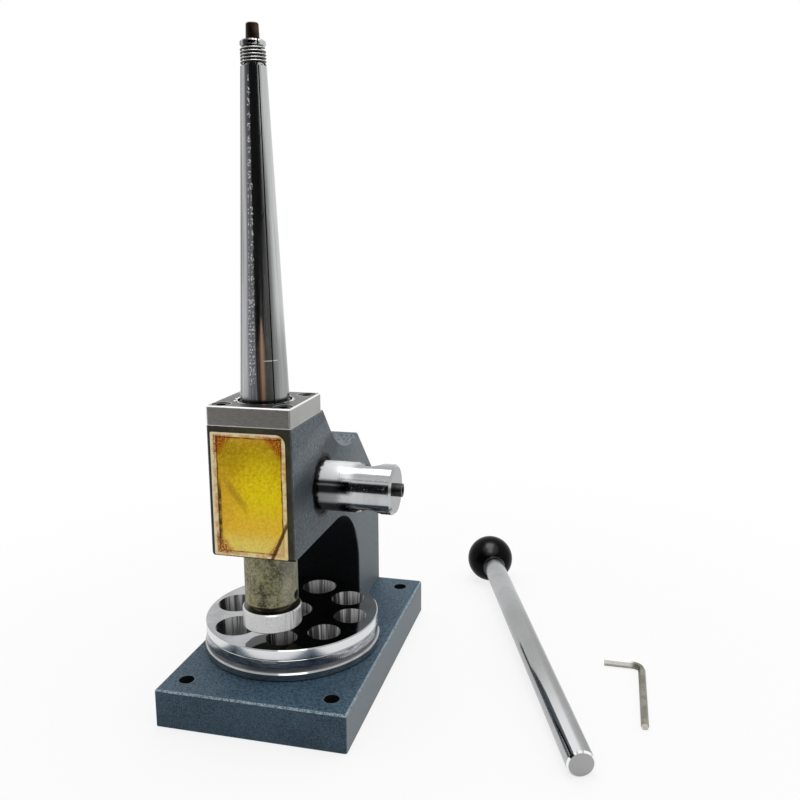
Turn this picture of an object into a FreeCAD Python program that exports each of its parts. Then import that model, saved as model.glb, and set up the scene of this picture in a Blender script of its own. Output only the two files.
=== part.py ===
"""Bench ring stretcher and reducer: a C-shaped press on a bolted base.

A cross shaft with a pinion lifts a rack ram.  Raised, the ram drives a tapered core up inside a
four-part mandrel and stretches a ring; lowered, its punch pushes a ring into a tapered die.

Frame: +Z up, +X to the right, -Y to the front.  The origin is the middle of the base's four
bench bolts, on the face that lies on the bench.  Lengths are in millimetres, angles in degrees.
"""
import FreeCAD, Part
import math
import os
import re
import Sketcher

V = FreeCAD.Vector
doc = FreeCAD.newDocument("RingStretcher")

# ------------------------------------------------------------------ driving dimensions

SIZES = (
    # base plate
    ("base_width", 118, "base plate, left to right"),
    ("base_thick", 23.5, "base plate thickness"),
    ("base_corner_radius", 1.5, "upright corners of the base"),
    ("base_edge", 1.2, "bevel round the top of the base"),
    ("bench_hole_dia", 9, "holes for M8 bench bolts"),
    ("bench_hole_side", 13.5, "bench hole centre to the side edge"),
    ("bench_hole_end", 14.8, "bench hole centre to the front or back edge"),
    # press frame
    ("press_setback", 40.5, "front edge of the base to the press axis"),
    ("frame_width", 50.8, "thickness of the frame casting"),
    ("head_bottom", 103, "underside of the head above the bench"),
    ("head_top", 180.2, "machined top of the head above the bench"),
    ("head_rear_step", 3.5, "head top behind the top plate"),
    ("head_nose_radius", 3, "rounded lower front edge of the head"),
    ("slope_run", 14.7, "sloping back of the head, along Y"),
    ("slope_drop", 16.6, "sloping back of the head, along Z"),
    ("saddle_radius", 52, "hollow between the head and the rear lip"),
    ("lip_height", 150, "rear lip of the saddle above the bench"),
    ("lip_setback", 51.3, "rear lip to the back face"),
    ("back_height", 100.5, "upright back face, top edge above the bench"),
    ("column_depth", 52.5, "column, front to back"),
    ("column_gap", 1.3, "rim of the die table to the column"),
    ("arch_radius", 47.5, "rounded inner corner of the throat"),
    ("frame_edge", 0.8, "broken edges of the casting"),
    # column bolts
    ("column_bolt_dia", 10, "bolts up into the column"),
    ("column_bolt_head_dia", 16, "their heads"),
    ("column_bolt_head_height", 10, "their heads"),
    ("column_bolt_across", 28, "bolt spacing along X"),
    ("column_bolt_along", 28, "bolt spacing along Y"),
    ("column_bolt_grip", 18, "thread length inside the column"),
    ("column_bolt_recess", 11, "counterbore depth under the base"),
    ("column_bolt_socket", 8, "hexagon across flats"),
    ("bolt_hole_play", 0.5, "drilled holes wider than their bolt"),
    ("head_play", 1, "counterbores wider than their screw head"),
    ("thread_play", 0.05, "tapped holes wider than their screw, radius"),
    ("tap_extra", 3, "tapped holes deeper than their screw"),
    # top plate
    ("plate_side", 50, "square top plate"),
    ("plate_thick", 11.3, "top plate thickness"),
    ("plate_edge", 0.6, "bevel round the top plate"),
    ("plate_hole_dia", 31.5, "hole that the mandrel stands in"),
    ("plate_screw_spacing", 37.2, "corner screws, both ways"),
    ("plate_screw_dia", 6, "corner screws"),
    ("plate_screw_head_dia", 10, "corner screw heads"),
    ("plate_screw_head_height", 6, "corner screw heads"),
    ("plate_screw_sink", 0.4, "screw heads below the plate's face"),
    ("plate_screw_grip", 12, "screw thread inside the head"),
    ("plate_screw_socket", 5, "hexagon across flats"),
    ("socket_depth", 3.2, "hexagon sockets"),
    # plate on the front of the head, left blank
    ("front_plate_width", 44.6, "blank plate on the head"),
    ("front_plate_height", 72, "blank plate on the head"),
    ("front_plate_thick", 0.5, "blank plate on the head"),
    ("front_plate_bottom", 104.7, "lower edge above the bench"),
    ("front_plate_corner", 1.5, "corner radius"),
    ("front_plate_shift", 0.8, "off-centre to the left"),
    # ram, rack and pinion
    ("ram_dia", 31.8, "ram"),
    ("ram_bottom", 68, "end of the ram above the bench"),
    ("ram_top", 159, "top of the ram above the bench"),
    ("ram_edge", 1.5, "chamfers at the ends of the ram"),
    ("ram_play", 0.05, "ram in its bore, radius"),
    ("gear_module", 2, "rack and pinion"),
    ("pinion_teeth", 13, "teeth cut in the shaft"),
    ("pressure_angle", 25, "tooth flanks"),
    ("rack_offset", 12.4, "rack pitch plane behind the ram axis"),
    ("rack_low", 104, "lowest rack tooth above the bench"),
    ("rack_high", 156, "highest rack tooth above the bench"),
    ("backlash", 0.16, "slack between the teeth at the pitch line"),
    ("tooth_tip_gap", 0.45, "tooth tips clear of the roots"),
    ("stroke_up", 17, "ram travel above the rest place"),
    ("spigot_dia", 14, "punch spigot in the ram"),
    ("spigot_length", 14, "punch spigot in the ram"),
    ("set_screw_dia", 6, "grub screw that holds the spigot"),
    ("set_screw_height", 5, "grub screw above the ram's end"),
    ("set_screw_sink", 1.2, "grub screw below the ram's surface"),
    ("set_screw_socket", 3, "hexagon across flats"),
    # punch
    ("punch_dia", 35.4, "flat punch"),
    ("punch_bottom", 53.9, "face of the punch above the bench"),
    ("punch_thick", 11.7, "flat punch"),
    ("punch_edge", 0.8, "bevels of the punch"),
    ("punch_neck_dia", 24, "shoulder against the ram's end"),
    # shaft
    ("shaft_dia", 30.4, "cross shaft"),
    ("shaft_height", 134.2, "shaft axis above the bench"),
    ("shaft_reach", 71.5, "free end of the shaft from the middle of the frame"),
    ("shaft_edge", 1.3, "chamfer of the free end"),
    ("journal_dia", 20, "left journal"),
    ("chamber_half", 14.2, "half length of the pinion chamber"),
    ("teeth_reach", 13.2, "teeth to the right of the middle"),
    ("shaft_float", 0.1, "end float"),
    ("keeper_gap", 0.2, "end washer clear of the frame"),
    ("shaft_play", 0.05, "shaft in its bushes, radius"),
    ("bush_fit", 0.02, "bushes in the frame, radius"),
    ("bush_right_dia", 35, "right bush, outside"),
    ("bush_left_dia", 26, "left bush, outside"),
    ("bush_sink", 0.6, "bushes below the faces of the frame"),
    ("handle_hole_setback", 15.5, "cross hole to the free end"),
    ("handle_hole_dia", 16.3, "cross hole for the handle"),
    ("handle_hole_tilt", 18, "cross hole leans back from upright"),
    ("end_washer_dia", 28, "keeper washer on the left"),
    ("end_washer_thick", 2.5, "keeper washer"),
    ("end_screw_dia", 8, "keeper screw"),
    ("end_screw_head_dia", 13, "keeper screw"),
    ("end_screw_head_height", 8, "keeper screw"),
    ("end_screw_grip", 16, "keeper screw in the shaft"),
    ("end_screw_socket", 6, "hexagon across flats"),
    ("lock_screw_dia", 8, "grub screw that clamps the handle"),
    ("lock_screw_length", 8, "grub screw that clamps the handle"),
    ("lock_screw_proud", 3.8, "stands out of the shaft's end"),
    ("lock_screw_socket", 4, "hexagon across flats"),
    # expanding mandrel
    ("mandrel_stand", 1.2, "thick end of the taper above the top plate"),
    ("mandrel_length", 181.3, "taper, end to end"),
    ("mandrel_bottom_dia", 28.2, "thick end of the taper"),
    ("mandrel_top_dia", 14.3, "thin end of the taper"),
    ("mandrel_slit", 0.7, "slits between the four parts"),
    ("mandrel_rest_gap", 0.3, "feet above the head"),
    ("foot_flange_dia", 36, "feet held under the top plate"),
    ("foot_flange_thick", 4.7, "feet held under the top plate"),
    ("foot_flange_play", 0.4, "feet below the plate"),
    ("foot_recess_dia", 38, "recess under the top plate"),
    ("foot_dia", 29.6, "feet inside the plate's hole"),
    ("foot_sink", 0.5, "feet below the top of the plate"),
    ("foot_groove_dia", 26, "undercut above the feet"),
    ("spring_neck_dia", 10.3, "neck that the spring is wound on"),
    ("spring_neck_length", 9.9, "neck that the spring is wound on"),
    ("cap_dia", 14.2, "heads above the spring"),
    ("cap_thick", 3.4, "heads above the spring"),
    ("cap_edge", 0.9, "bevels of the heads"),
    ("core_play", 0.22, "core in the mandrel, radius"),
    ("core_stand", 8.9, "core above the heads"),
    ("core_top_dia", 6.9, "core, thin end"),
    ("core_slope", 0.037, "core radius gained for each unit of drop"),
    ("core_edge", 0.5, "bevel of the core's end"),
    ("core_tail_dia", 12, "core screwed into the ram"),
    ("core_tail_length", 14, "core screwed into the ram"),
    ("spring_wire", 1.2, "coil spring round the neck"),
    ("spring_inner_dia", 11.7, "coil spring round the neck"),
    ("spring_turns", 5, "coil spring round the neck"),
    ("spring_end_gap", 0.15, "spring clear of the shoulders"),
    # turntable with dies
    ("die_pitch_radius", 39.2, "die centres from the pivot"),
    ("pivot_shift", 2.6, "pivot to the left of the press axis"),
    ("die_rim_wall", 2.8, "die plate between its largest die and the rim"),
    ("die_top", 43.2, "die plate, top above the bench"),
    ("die_edge", 0.6, "bevels of the die plate"),
    ("die_taper", 5, "die walls from upright"),
    ("die_line_drop", 6.4, "line round the rim below the top"),
    ("die_line_width", 0.7, "line round the rim"),
    ("table_overhang", 1, "rim of the fixed table outside the die plate"),
    ("table_rim_height", 5.2, "rim of the table"),
    ("table_ledge", 3.75, "rim of the table outside its raised face"),
    ("table_boss_height", 2, "raised face of the table"),
    ("table_edge", 0.8, "bevel of the rim"),
    ("turn_gap", 0.1, "die plate above the table"),
    ("pivot_sleeve_dia", 14, "sleeve that the die plate turns on"),
    ("pivot_play", 0.05, "die plate on its sleeve, radius"),
    ("pivot_recess_dia", 25, "recess for the pivot bolt's head"),
    ("pivot_recess_depth", 7.5, "recess for the pivot bolt's head"),
    ("pivot_washer_dia", 22, "washer over the sleeve"),
    ("pivot_washer_thick", 1.2, "washer over the sleeve"),
    ("pivot_bolt_dia", 8, "pivot bolt"),
    ("pivot_head_dia", 13, "pivot bolt head"),
    ("pivot_head_height", 5, "pivot bolt head"),
    ("pivot_socket", 5, "hexagon across flats"),
    ("pivot_grip", 14, "pivot bolt in the base"),
    ("table_screw_dia", 5, "countersunk screws of the table"),
    ("table_screw_head_dia", 9.6, "countersunk screws of the table"),
    ("table_screw_circle", 18, "screw centres from the pivot"),
    ("table_screw_grip", 9, "screws in the base"),
    ("table_screw_socket", 3, "hexagon across flats"),
    ("table_socket_depth", 1.6, "hexagon sockets of the table screws"),
    # loose handle
    ("handle_dia", 16, "handle rod"),
    ("handle_length", 264.7, "middle of the knob to the end of the rod"),
    ("handle_edge", 1, "bevel of the rod's end"),
    ("handle_knob_x", 101.8, "knob on the bench"),
    ("handle_knob_y", 165.2, "knob on the bench"),
    ("handle_angle", -71.4, "direction of the rod on the bench"),
    ("knob_dia", 36.4, "ball knob"),
    ("knob_bore_depth", 20, "knob bored for the stud"),
    ("stud_dia", 10, "stud in the knob"),
    ("ferrule_dia", 17.7, "collar between rod and knob"),
    ("ferrule_length", 3, "collar between rod and knob"),
    ("ferrule_stand", 1, "collar's end beyond the ball"),
    # loose hexagon key
    ("key_flats", 4, "hexagon key across flats"),
    ("key_long", 72, "long arm"),
    ("key_short", 24, "short arm"),
    ("key_bend", 6, "bend radius"),
    ("key_x", 220.6, "bend on the bench"),
    ("key_y", 40.6, "bend on the bench"),
    ("key_angle", 0, "key turned on the bench"),
)

# Each die: direction of its centre from the pivot and the diameter of its mouth.
DIES = (
    (-79, 19.4), (-39.5, 20.4), (0.5, 20.9), (40.5, 21.9),
    (83, 23.1), (129, 24.6), (178, 26.2), (-131, 27.0),
)

sheet = doc.addObject("Spreadsheet::Sheet", "Sizes")
ALIASES = set()


def add_size(row, alias, value, note):
    """Writes one named value into the sheet."""
    sheet.set("A%d" % row, note)
    sheet.set("B%d" % row, str(value))
    sheet.setAlias("B%d" % row, alias)
    ALIASES.add(alias)


for row_number, (alias_name, size, meaning) in enumerate(SIZES, start=1):
    add_size(row_number, alias_name, size, meaning)
for number, (direction, mouth) in enumerate(DIES, start=1):
    add_size(len(SIZES) + 2 * number - 1, "die_%d_angle" % number, direction, "direction of a die")
    add_size(len(SIZES) + 2 * number, "die_%d_mouth" % number, mouth, "mouth diameter of a die")
doc.recompute()

# Sizes that follow from others, worked out in the sheet, each from those above it.
LARGEST_MOUTH = "max(%s)" % "; ".join("die_%d_mouth" % n for n in range(1, len(DIES) + 1))
FOLLOWING = (
    ("die_plate_dia", "=2 * (die_pitch_radius + die_rim_wall) + " + LARGEST_MOUTH, "die plate"),
    ("table_dia", "=die_plate_dia + 2 * table_overhang", "fixed table under the die plate"),
    ("table_boss_dia", "=table_dia - 2 * table_ledge", "raised face of the table"),
    ("base_depth", "=press_setback + die_pitch_radius + table_dia / 2 + column_gap + column_depth",
     "base plate, front to back"),
    ("foot_top", "=head_top + plate_thick - foot_sink", "feet, top above the bench"),
    ("mandrel_body_bottom", "=head_top + plate_thick + mandrel_stand", "thick end of the taper"),
    ("mandrel_body_top", "=mandrel_body_bottom + mandrel_length", "thin end of the taper"),
    ("spring_neck_top", "=mandrel_body_top + spring_neck_length", "neck, top above the bench"),
    ("cap_top", "=spring_neck_top + cap_thick", "heads, top above the bench"),
    ("core_top", "=cap_top + core_stand", "core, top above the bench"),
)
for row_number, (alias_name, formula, meaning) in enumerate(FOLLOWING, start=len(ALIASES) + 1):
    add_size(row_number, alias_name, formula, meaning)
    doc.recompute()

# Places that follow from the driving dimensions, as expressions.
PRESS_Y = "(press_setback - base_depth / 2)"
HEAD_FRONT = "(press_setback - base_depth / 2 - plate_side / 2)"
HEAD_REAR = "(press_setback - base_depth / 2 + plate_side / 2 + head_rear_step)"
COLUMN_FRONT = "(base_depth / 2 - column_depth)"
COLUMN_MIDDLE = "(base_depth / 2 - column_depth / 2)"
PITCH_RADIUS = "(gear_module * pinion_teeth / 2)"
SHAFT_Y = "(press_setback - base_depth / 2 + rack_offset + gear_module * pinion_teeth / 2)"
PIVOT_X = "(-pivot_shift)"
PIVOT_Y = "(press_setback - base_depth / 2 + die_pitch_radius)"
TABLE_TOP = "(base_thick + table_rim_height + table_boss_height)"
DIE_BOTTOM = "(base_thick + table_rim_height + table_boss_height + turn_gap)"
FOOT_BOTTOM = "(head_top + mandrel_rest_gap)"
FLANGE_TOP = "(head_top + mandrel_rest_gap + foot_flange_thick)"
PLATE_TOP = "(head_top + plate_thick)"
PUNCH_TOP = "(punch_bottom + punch_thick)"


def ref(expression):
    """The same expression with every size looked up in the sheet."""
    def look_up(match):
        word = match.group(0)
        return "Sizes." + word if word in ALIASES else word
    return re.sub(r"[a-z][a-z_0-9]*", look_up, expression)


def num(expression):
    """The value of an expression, as a plain number."""
    value = sheet.evalExpression(expression)
    return float(getattr(value, "Value", value))


# ------------------------------------------------------------------ modelling tools

parts = []


def finished(thing, label):
    """Names a sub-part and puts it on the list of parts to write."""
    thing.Label = label
    parts.append(thing)
    return thing


def place(thing, x="0", y="0", z="0", axis=None, angle=None):
    """Binds the place of a sub-part, and its turn about one axis, to the sheet."""
    if axis is not None:
        thing.Placement = FreeCAD.Placement(V(0, 0, 0), FreeCAD.Rotation(axis, 1))
        thing.setExpression("Placement.Rotation.Angle", ref(angle))
    for letter, expression in (("x", x), ("y", y), ("z", z)):
        thing.setExpression("Placement.Base." + letter, ref(expression))
    return thing


def new_body(name, x="0", y="0", z="0", axis=None, angle=None):
    """An empty body at a bound place."""
    return place(doc.addObject("PartDesign::Body", name), x, y, z, axis, angle)


def new_sketch(body, plane, offset="0"):
    """A sketch on one of the body's own planes, moved along the plane's normal."""
    sketch = body.newObject("Sketcher::SketchObject", body.Name + "_sketch")
    origin = [item for item in body.Origin.OriginFeatures if item.Role == plane][0]
    sketch.AttachmentSupport = [(origin, "")]
    sketch.MapMode = "FlatFace"
    sketch.setExpression("AttachmentOffset.Base.z", ref(offset))
    return sketch


def bind(sketch, kind, where, expression):
    """Adds one size to a sketch and binds it to the sheet."""
    index = sketch.addConstraint(Sketcher.Constraint(kind, *where, num(expression)))
    sketch.setExpression("Constraints[%d]" % index, ref(expression))


def outline(sketch, corners):
    """A closed outline.  A corner is (x, y); with a radius added, (x, y, radius), the edge that
    leaves it is an arc that turns left, or right where the radius is written with a minus."""
    points = [V(num(c[0]), num(c[1]), 0) for c in corners]
    ends = []
    for i, corner in enumerate(corners):
        start, end = points[i], points[(i + 1) % len(points)]
        if len(corner) == 2:
            edge = sketch.addGeometry(Part.LineSegment(start, end), False)
            ends.append((edge, 1, 2))
            continue
        radius = abs(num(corner[2]))
        left = not corner[2].startswith("-")
        chord = end - start
        away = math.sqrt(max(radius ** 2 - (chord.Length / 2) ** 2, 0))
        normal = V(-chord.y, chord.x, 0).normalize() * (away if left else -away)
        centre = (start + end) / 2 + normal
        angles = [math.atan2(p.y - centre.y, p.x - centre.x) for p in (start, end)]
        circle = Part.Circle(centre, V(0, 0, 1), radius)
        first, last = angles if left else angles[::-1]
        edge = sketch.addGeometry(Part.ArcOfCircle(circle, first, last), False)
        bind(sketch, "Radius", (edge,), corner[2].lstrip("-"))
        ends.append((edge, 1, 2) if left else (edge, 2, 1))
    for i, corner in enumerate(corners):
        edge, start, _ = ends[i]
        before, _, finish = ends[i - 1]
        sketch.addConstraint(Sketcher.Constraint("Coincident", before, finish, edge, start))
        bind(sketch, "DistanceX", (-1, 1, edge, start), corner[0])
        bind(sketch, "DistanceY", (-1, 1, edge, start), corner[1])
    return sketch


def ring(sketch, x, y, radius):
    """A circle with a bound centre and radius."""
    circle = Part.Circle(V(num(x), num(y), 0), V(0, 0, 1), num(radius))
    edge = sketch.addGeometry(circle, False)
    bind(sketch, "Radius", (edge,), radius)
    bind(sketch, "DistanceX", (-1, 1, edge, 3), x)
    bind(sketch, "DistanceY", (-1, 1, edge, 3), y)
    return sketch


def rectangle(sketch, left, bottom, right, top):
    """An upright rectangle between two bound corners."""
    return outline(sketch, ((left, bottom), (right, bottom), (right, top), (left, top)))


def pad(body, sketch, length):
    """Material along the sketch's normal."""
    feature = body.newObject("PartDesign::Pad", body.Name + "_pad")
    feature.Profile = sketch
    feature.setExpression("Length", ref(length))
    doc.recompute()
    return feature


def cut(body, sketch, length, taper=None):
    """A cut from the sketch against its normal; it has to take material away."""
    before = body.Shape.Volume
    feature = body.newObject("PartDesign::Pocket", body.Name + "_cut")
    feature.Profile = sketch
    feature.setExpression("Length", ref(length))
    if taper is not None:
        feature.setExpression("TaperAngle", ref(taper))
    doc.recompute()
    if body.Shape.Volume > before - 1e-6:
        raise RuntimeError("%s: a cut takes nothing away" % body.Name)
    return feature


def turned(body, corners):
    """A solid turned about Z from an outline on the XZ plane."""
    sketch = outline(new_sketch(body, "XZ_Plane"), corners)
    feature = body.newObject("PartDesign::Revolution", body.Name + "_turned")
    feature.Profile = sketch
    feature.ReferenceAxis = (sketch, ["V_Axis"])
    feature.Angle = 360
    doc.recompute()
    return feature


def dress(body, kind, measure, size, wanted):
    """A bevel or a rounding on each edge of the body that the test wants."""
    base = body.Tip
    edges = ["Edge%d" % n for n, edge in enumerate(base.Shape.Edges, start=1) if wanted(edge)]
    feature = body.newObject("PartDesign::" + kind, "%s_%s" % (body.Name, kind.lower()))
    feature.Base = (base, edges)
    feature.setExpression(measure, ref(size))
    doc.recompute()
    return feature


def bevel(body, size, wanted):
    """A bevel on each edge of the body that the test wants."""
    return dress(body, "Chamfer", "Size", size, wanted)


def rounding(body, size, wanted):
    """A rounding on each edge of the body that the test wants."""
    return dress(body, "Fillet", "Radius", size, wanted)


def near(a, b):
    """True where two lengths are the same."""
    return abs(a - b) < 1e-4


def upright(edge):
    """True for a straight edge along Z."""
    if edge.Curve.TypeId != "Part::GeomLine":
        return False
    return abs(edge.tangentAt(edge.FirstParameter).z) > 0.999


def level_at(edge, height):
    """True for an edge that lies wholly at one height."""
    box = edge.BoundBox
    return near(box.ZMin, height) and near(box.ZMax, height)


def primitive(kind, name, **sizes):
    """A Part primitive with its sizes bound to the sheet."""
    thing = doc.addObject("Part::" + kind, name)
    for prop, expression in sizes.items():
        thing.setExpression(prop, ref(expression))
    return thing


def combined(kind, name, base, tools):
    """A union or a difference of primitives."""
    if kind == "Cut":
        thing = doc.addObject("Part::Cut", name)
        thing.Base = base
        thing.Tool = tools[0] if len(tools) == 1 else combined("MultiFuse", name + "_tools", None, tools)
        return thing
    thing = doc.addObject("Part::MultiFuse", name)
    thing.Shapes = ([base] if base else []) + list(tools)
    return thing


def hexagon(name, flats, depth, z):
    """A hexagonal prism upwards from a height, for a key's socket."""
    prism = primitive("Prism", name, Circumradius="%s / sqrt(3)" % flats, Height=depth)
    prism.Polygon = 6
    return place(prism, z=z)


def cap_screw(name, shank, head, head_height, grip, socket, depth="socket_depth"):
    """A socket head cap screw: its head sits on z = 0 and its thread points down."""
    shaft = place(primitive("Cylinder", name + "_shank", Radius=shank + " / 2", Height=grip),
                  z="-(%s)" % grip)
    cap = primitive("Cylinder", name + "_head", Radius=head + " / 2", Height=head_height)
    socket_cut = hexagon(name + "_socket", socket, depth, "%s - %s" % (head_height, depth))
    return combined("Cut", name, combined("MultiFuse", name + "_blank", shaft, [cap]), [socket_cut])


def group(label, things):
    """Like fasteners written as one sub-part of separate solids."""
    together = doc.addObject("Part::Compound", label)
    together.Links = things
    return finished(together, label)


# ------------------------------------------------------------------ base plate

def make_base_plate():
    """Thick plate with four bench holes, counterbored for the column bolts."""
    body = new_body("base_plate")
    half_x, half_y = "base_width / 2", "base_depth / 2"
    sketch = new_sketch(body, "XY_Plane")
    rectangle(sketch, "-" + half_x, "-" + half_y, half_x, half_y)
    pad(body, sketch, "base_thick")
    rounding(body, "base_corner_radius", upright)
    bevel(body, "base_edge", lambda edge: level_at(edge, num("base_thick")))

    bench = new_sketch(body, "XY_Plane", "base_thick")
    for side in ("", "-"):
        for end in ("", "-"):
            ring(bench, side + "(base_width / 2 - bench_hole_side)",
                 end + "(base_depth / 2 - bench_hole_end)", "bench_hole_dia / 2")
    cut(body, bench, "base_thick")

    bolts = new_sketch(body, "XY_Plane", "base_thick")
    recesses = new_sketch(body, "XY_Plane", "column_bolt_recess")
    for x, y in column_bolt_places():
        ring(bolts, x, y, "(column_bolt_dia + bolt_hole_play) / 2")
        ring(recesses, x, y, "(column_bolt_head_dia + head_play) / 2")
    cut(body, bolts, "base_thick")
    cut(body, recesses, "column_bolt_recess")

    pivot = new_sketch(body, "XY_Plane", "base_thick")
    ring(pivot, PIVOT_X, PIVOT_Y, "pivot_bolt_dia / 2 + thread_play")
    cut(body, pivot, "pivot_grip + tap_extra")
    screws = new_sketch(body, "XY_Plane", "base_thick")
    for x, y in table_screw_places():
        ring(screws, "%s + %s" % (PIVOT_X, x), "%s + %s" % (PIVOT_Y, y),
             "table_screw_dia / 2 + thread_play")
    cut(body, screws, "table_screw_grip + tap_extra")
    return finished(body, "base_plate")


def column_bolt_places():
    """Centres of the four bolts under the column."""
    return [("%scolumn_bolt_across / 2" % side, "%s %s column_bolt_along / 2" % (COLUMN_MIDDLE, end))
            for side in ("", "-") for end in ("+", "-")]


def table_screw_places():
    """Centres of the three countersunk screws, from the pivot."""
    return [("table_screw_circle * cos(%d)" % angle, "table_screw_circle * sin(%d)" % angle)
            for angle in (90, 210, 330)]


# ------------------------------------------------------------------ press frame

def make_frame():
    """C-shaped casting: column, rounded throat, hollow saddle and bored head."""
    body = new_body("press_frame")
    half = "frame_width / 2"
    sketch = new_sketch(body, "YZ_Plane", "-" + half)
    outline(sketch, (
        ("%s + head_nose_radius" % HEAD_FRONT, "head_bottom"),
        ("%s - arch_radius" % COLUMN_FRONT, "head_bottom", "-arch_radius"),
        (COLUMN_FRONT, "head_bottom - arch_radius"),
        (COLUMN_FRONT, "base_thick"),
        ("base_depth / 2", "base_thick"),
        ("base_depth / 2", "back_height"),
        ("base_depth / 2 - lip_setback", "lip_height", "-saddle_radius"),
        ("%s + slope_run" % HEAD_REAR, "head_top - slope_drop"),
        (HEAD_REAR, "head_top"),
        (HEAD_FRONT, "head_top"),
        (HEAD_FRONT, "head_bottom + head_nose_radius", "head_nose_radius"),
    ))
    pad(body, sketch, "frame_width")
    side = num(half)
    bevel(body, "frame_edge", lambda edge: near(abs(edge.BoundBox.XMin), side)
          and near(edge.BoundBox.XMin, edge.BoundBox.XMax)
          and edge.BoundBox.ZMax > num("base_thick") + 0.1
          and edge.BoundBox.ZMin < num("head_top") - 0.1)

    bore = new_sketch(body, "XY_Plane", "head_top")
    ring(bore, "0", PRESS_Y, "ram_dia / 2 + ram_play")
    cut(body, bore, "head_top - head_bottom + ram_dia")

    chamber = new_sketch(body, "YZ_Plane", half)
    ring(chamber, SHAFT_Y, "shaft_height", "bush_right_dia / 2 + bush_fit")
    cut(body, chamber, "frame_width / 2 + chamber_half")
    journal = new_sketch(body, "YZ_Plane", "-chamber_half")
    ring(journal, SHAFT_Y, "shaft_height", "bush_left_dia / 2 + bush_fit")
    cut(body, journal, "frame_width / 2 - chamber_half")

    screws = new_sketch(body, "XY_Plane", "head_top")
    for x, y in plate_screw_places():
        ring(screws, x, "%s + %s" % (PRESS_Y, y), "plate_screw_dia / 2 + thread_play")
    cut(body, screws, "plate_screw_grip + tap_extra")
    taps = new_sketch(body, "XY_Plane", "base_thick + column_bolt_grip + tap_extra")
    for x, y in column_bolt_places():
        ring(taps, x, y, "column_bolt_dia / 2 + thread_play")
    cut(body, taps, "column_bolt_grip + tap_extra")
    return finished(body, "press_frame")


def plate_screw_places():
    """Centres of the four corner screws, from the press axis."""
    half = "plate_screw_spacing / 2"
    return [(side + half, end + half) for side in ("", "-") for end in ("", "-")]


def make_column_bolts():
    """Four cap screws up through the base into the column."""
    bolts = []
    for number, (x, y) in enumerate(column_bolt_places(), start=1):
        bolt = cap_screw("column_bolt_%d" % number, "column_bolt_dia", "column_bolt_head_dia",
                         "column_bolt_head_height",
                         "base_thick - column_bolt_recess + column_bolt_grip", "column_bolt_socket")
        bolts.append(place(bolt, x, y, "column_bolt_recess", V(1, 0, 0), "180"))
    return group("column_bolts", bolts)


# ------------------------------------------------------------------ top plate

def make_top_plate():
    """Ground square plate that holds the feet of the mandrel down."""
    body = new_body("top_plate", y=PRESS_Y, z="head_top")
    half = "plate_side / 2"
    sketch = new_sketch(body, "XY_Plane")
    rectangle(sketch, "-" + half, "-" + half, half, half)
    pad(body, sketch, "plate_thick")
    bevel(body, "plate_edge", lambda edge: level_at(edge, num("plate_thick")) or upright(edge))

    hole = new_sketch(body, "XY_Plane", "plate_thick")
    ring(hole, "0", "0", "plate_hole_dia / 2")
    cut(body, hole, "plate_thick")
    recess = new_sketch(body, "XY_Plane", "mandrel_rest_gap + foot_flange_thick + foot_flange_play")
    ring(recess, "0", "0", "foot_recess_dia / 2")
    cut(body, recess, "mandrel_rest_gap + foot_flange_thick + foot_flange_play")
    heads = new_sketch(body, "XY_Plane", "plate_thick")
    shanks = new_sketch(body, "XY_Plane", "plate_thick")
    for x, y in plate_screw_places():
        ring(heads, x, y, "(plate_screw_head_dia + head_play) / 2")
        ring(shanks, x, y, "(plate_screw_dia + bolt_hole_play) / 2")
    cut(body, heads, "plate_screw_head_height + plate_screw_sink")
    cut(body, shanks, "plate_thick")
    return finished(body, "top_plate")


def make_top_plate_screws():
    """Four cap screws in the corners of the top plate."""
    seat = "(head_top + plate_thick - plate_screw_head_height - plate_screw_sink)"
    screws = []
    for number, (x, y) in enumerate(plate_screw_places(), start=1):
        screw = cap_screw("plate_screw_%d" % number, "plate_screw_dia", "plate_screw_head_dia",
                          "plate_screw_head_height", seat + " - head_top + plate_screw_grip",
                          "plate_screw_socket")
        screws.append(place(screw, x, "%s + %s" % (PRESS_Y, y), seat))
    return group("top_plate_screws", screws)


def make_front_plate():
    """Thin blank plate on the front of the head."""
    body = new_body("front_plate")
    sketch = new_sketch(body, "XZ_Plane", "-(%s)" % HEAD_FRONT)
    rectangle(sketch, "-front_plate_width / 2 - front_plate_shift", "front_plate_bottom",
              "front_plate_width / 2 - front_plate_shift", "front_plate_bottom + front_plate_height")
    pad(body, sketch, "front_plate_thick")
    rounding(body, "front_plate_corner",
             lambda edge: near(edge.Length, num("front_plate_thick")))
    return finished(body, "front_plate")


# ------------------------------------------------------------------ ram and punch

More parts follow.
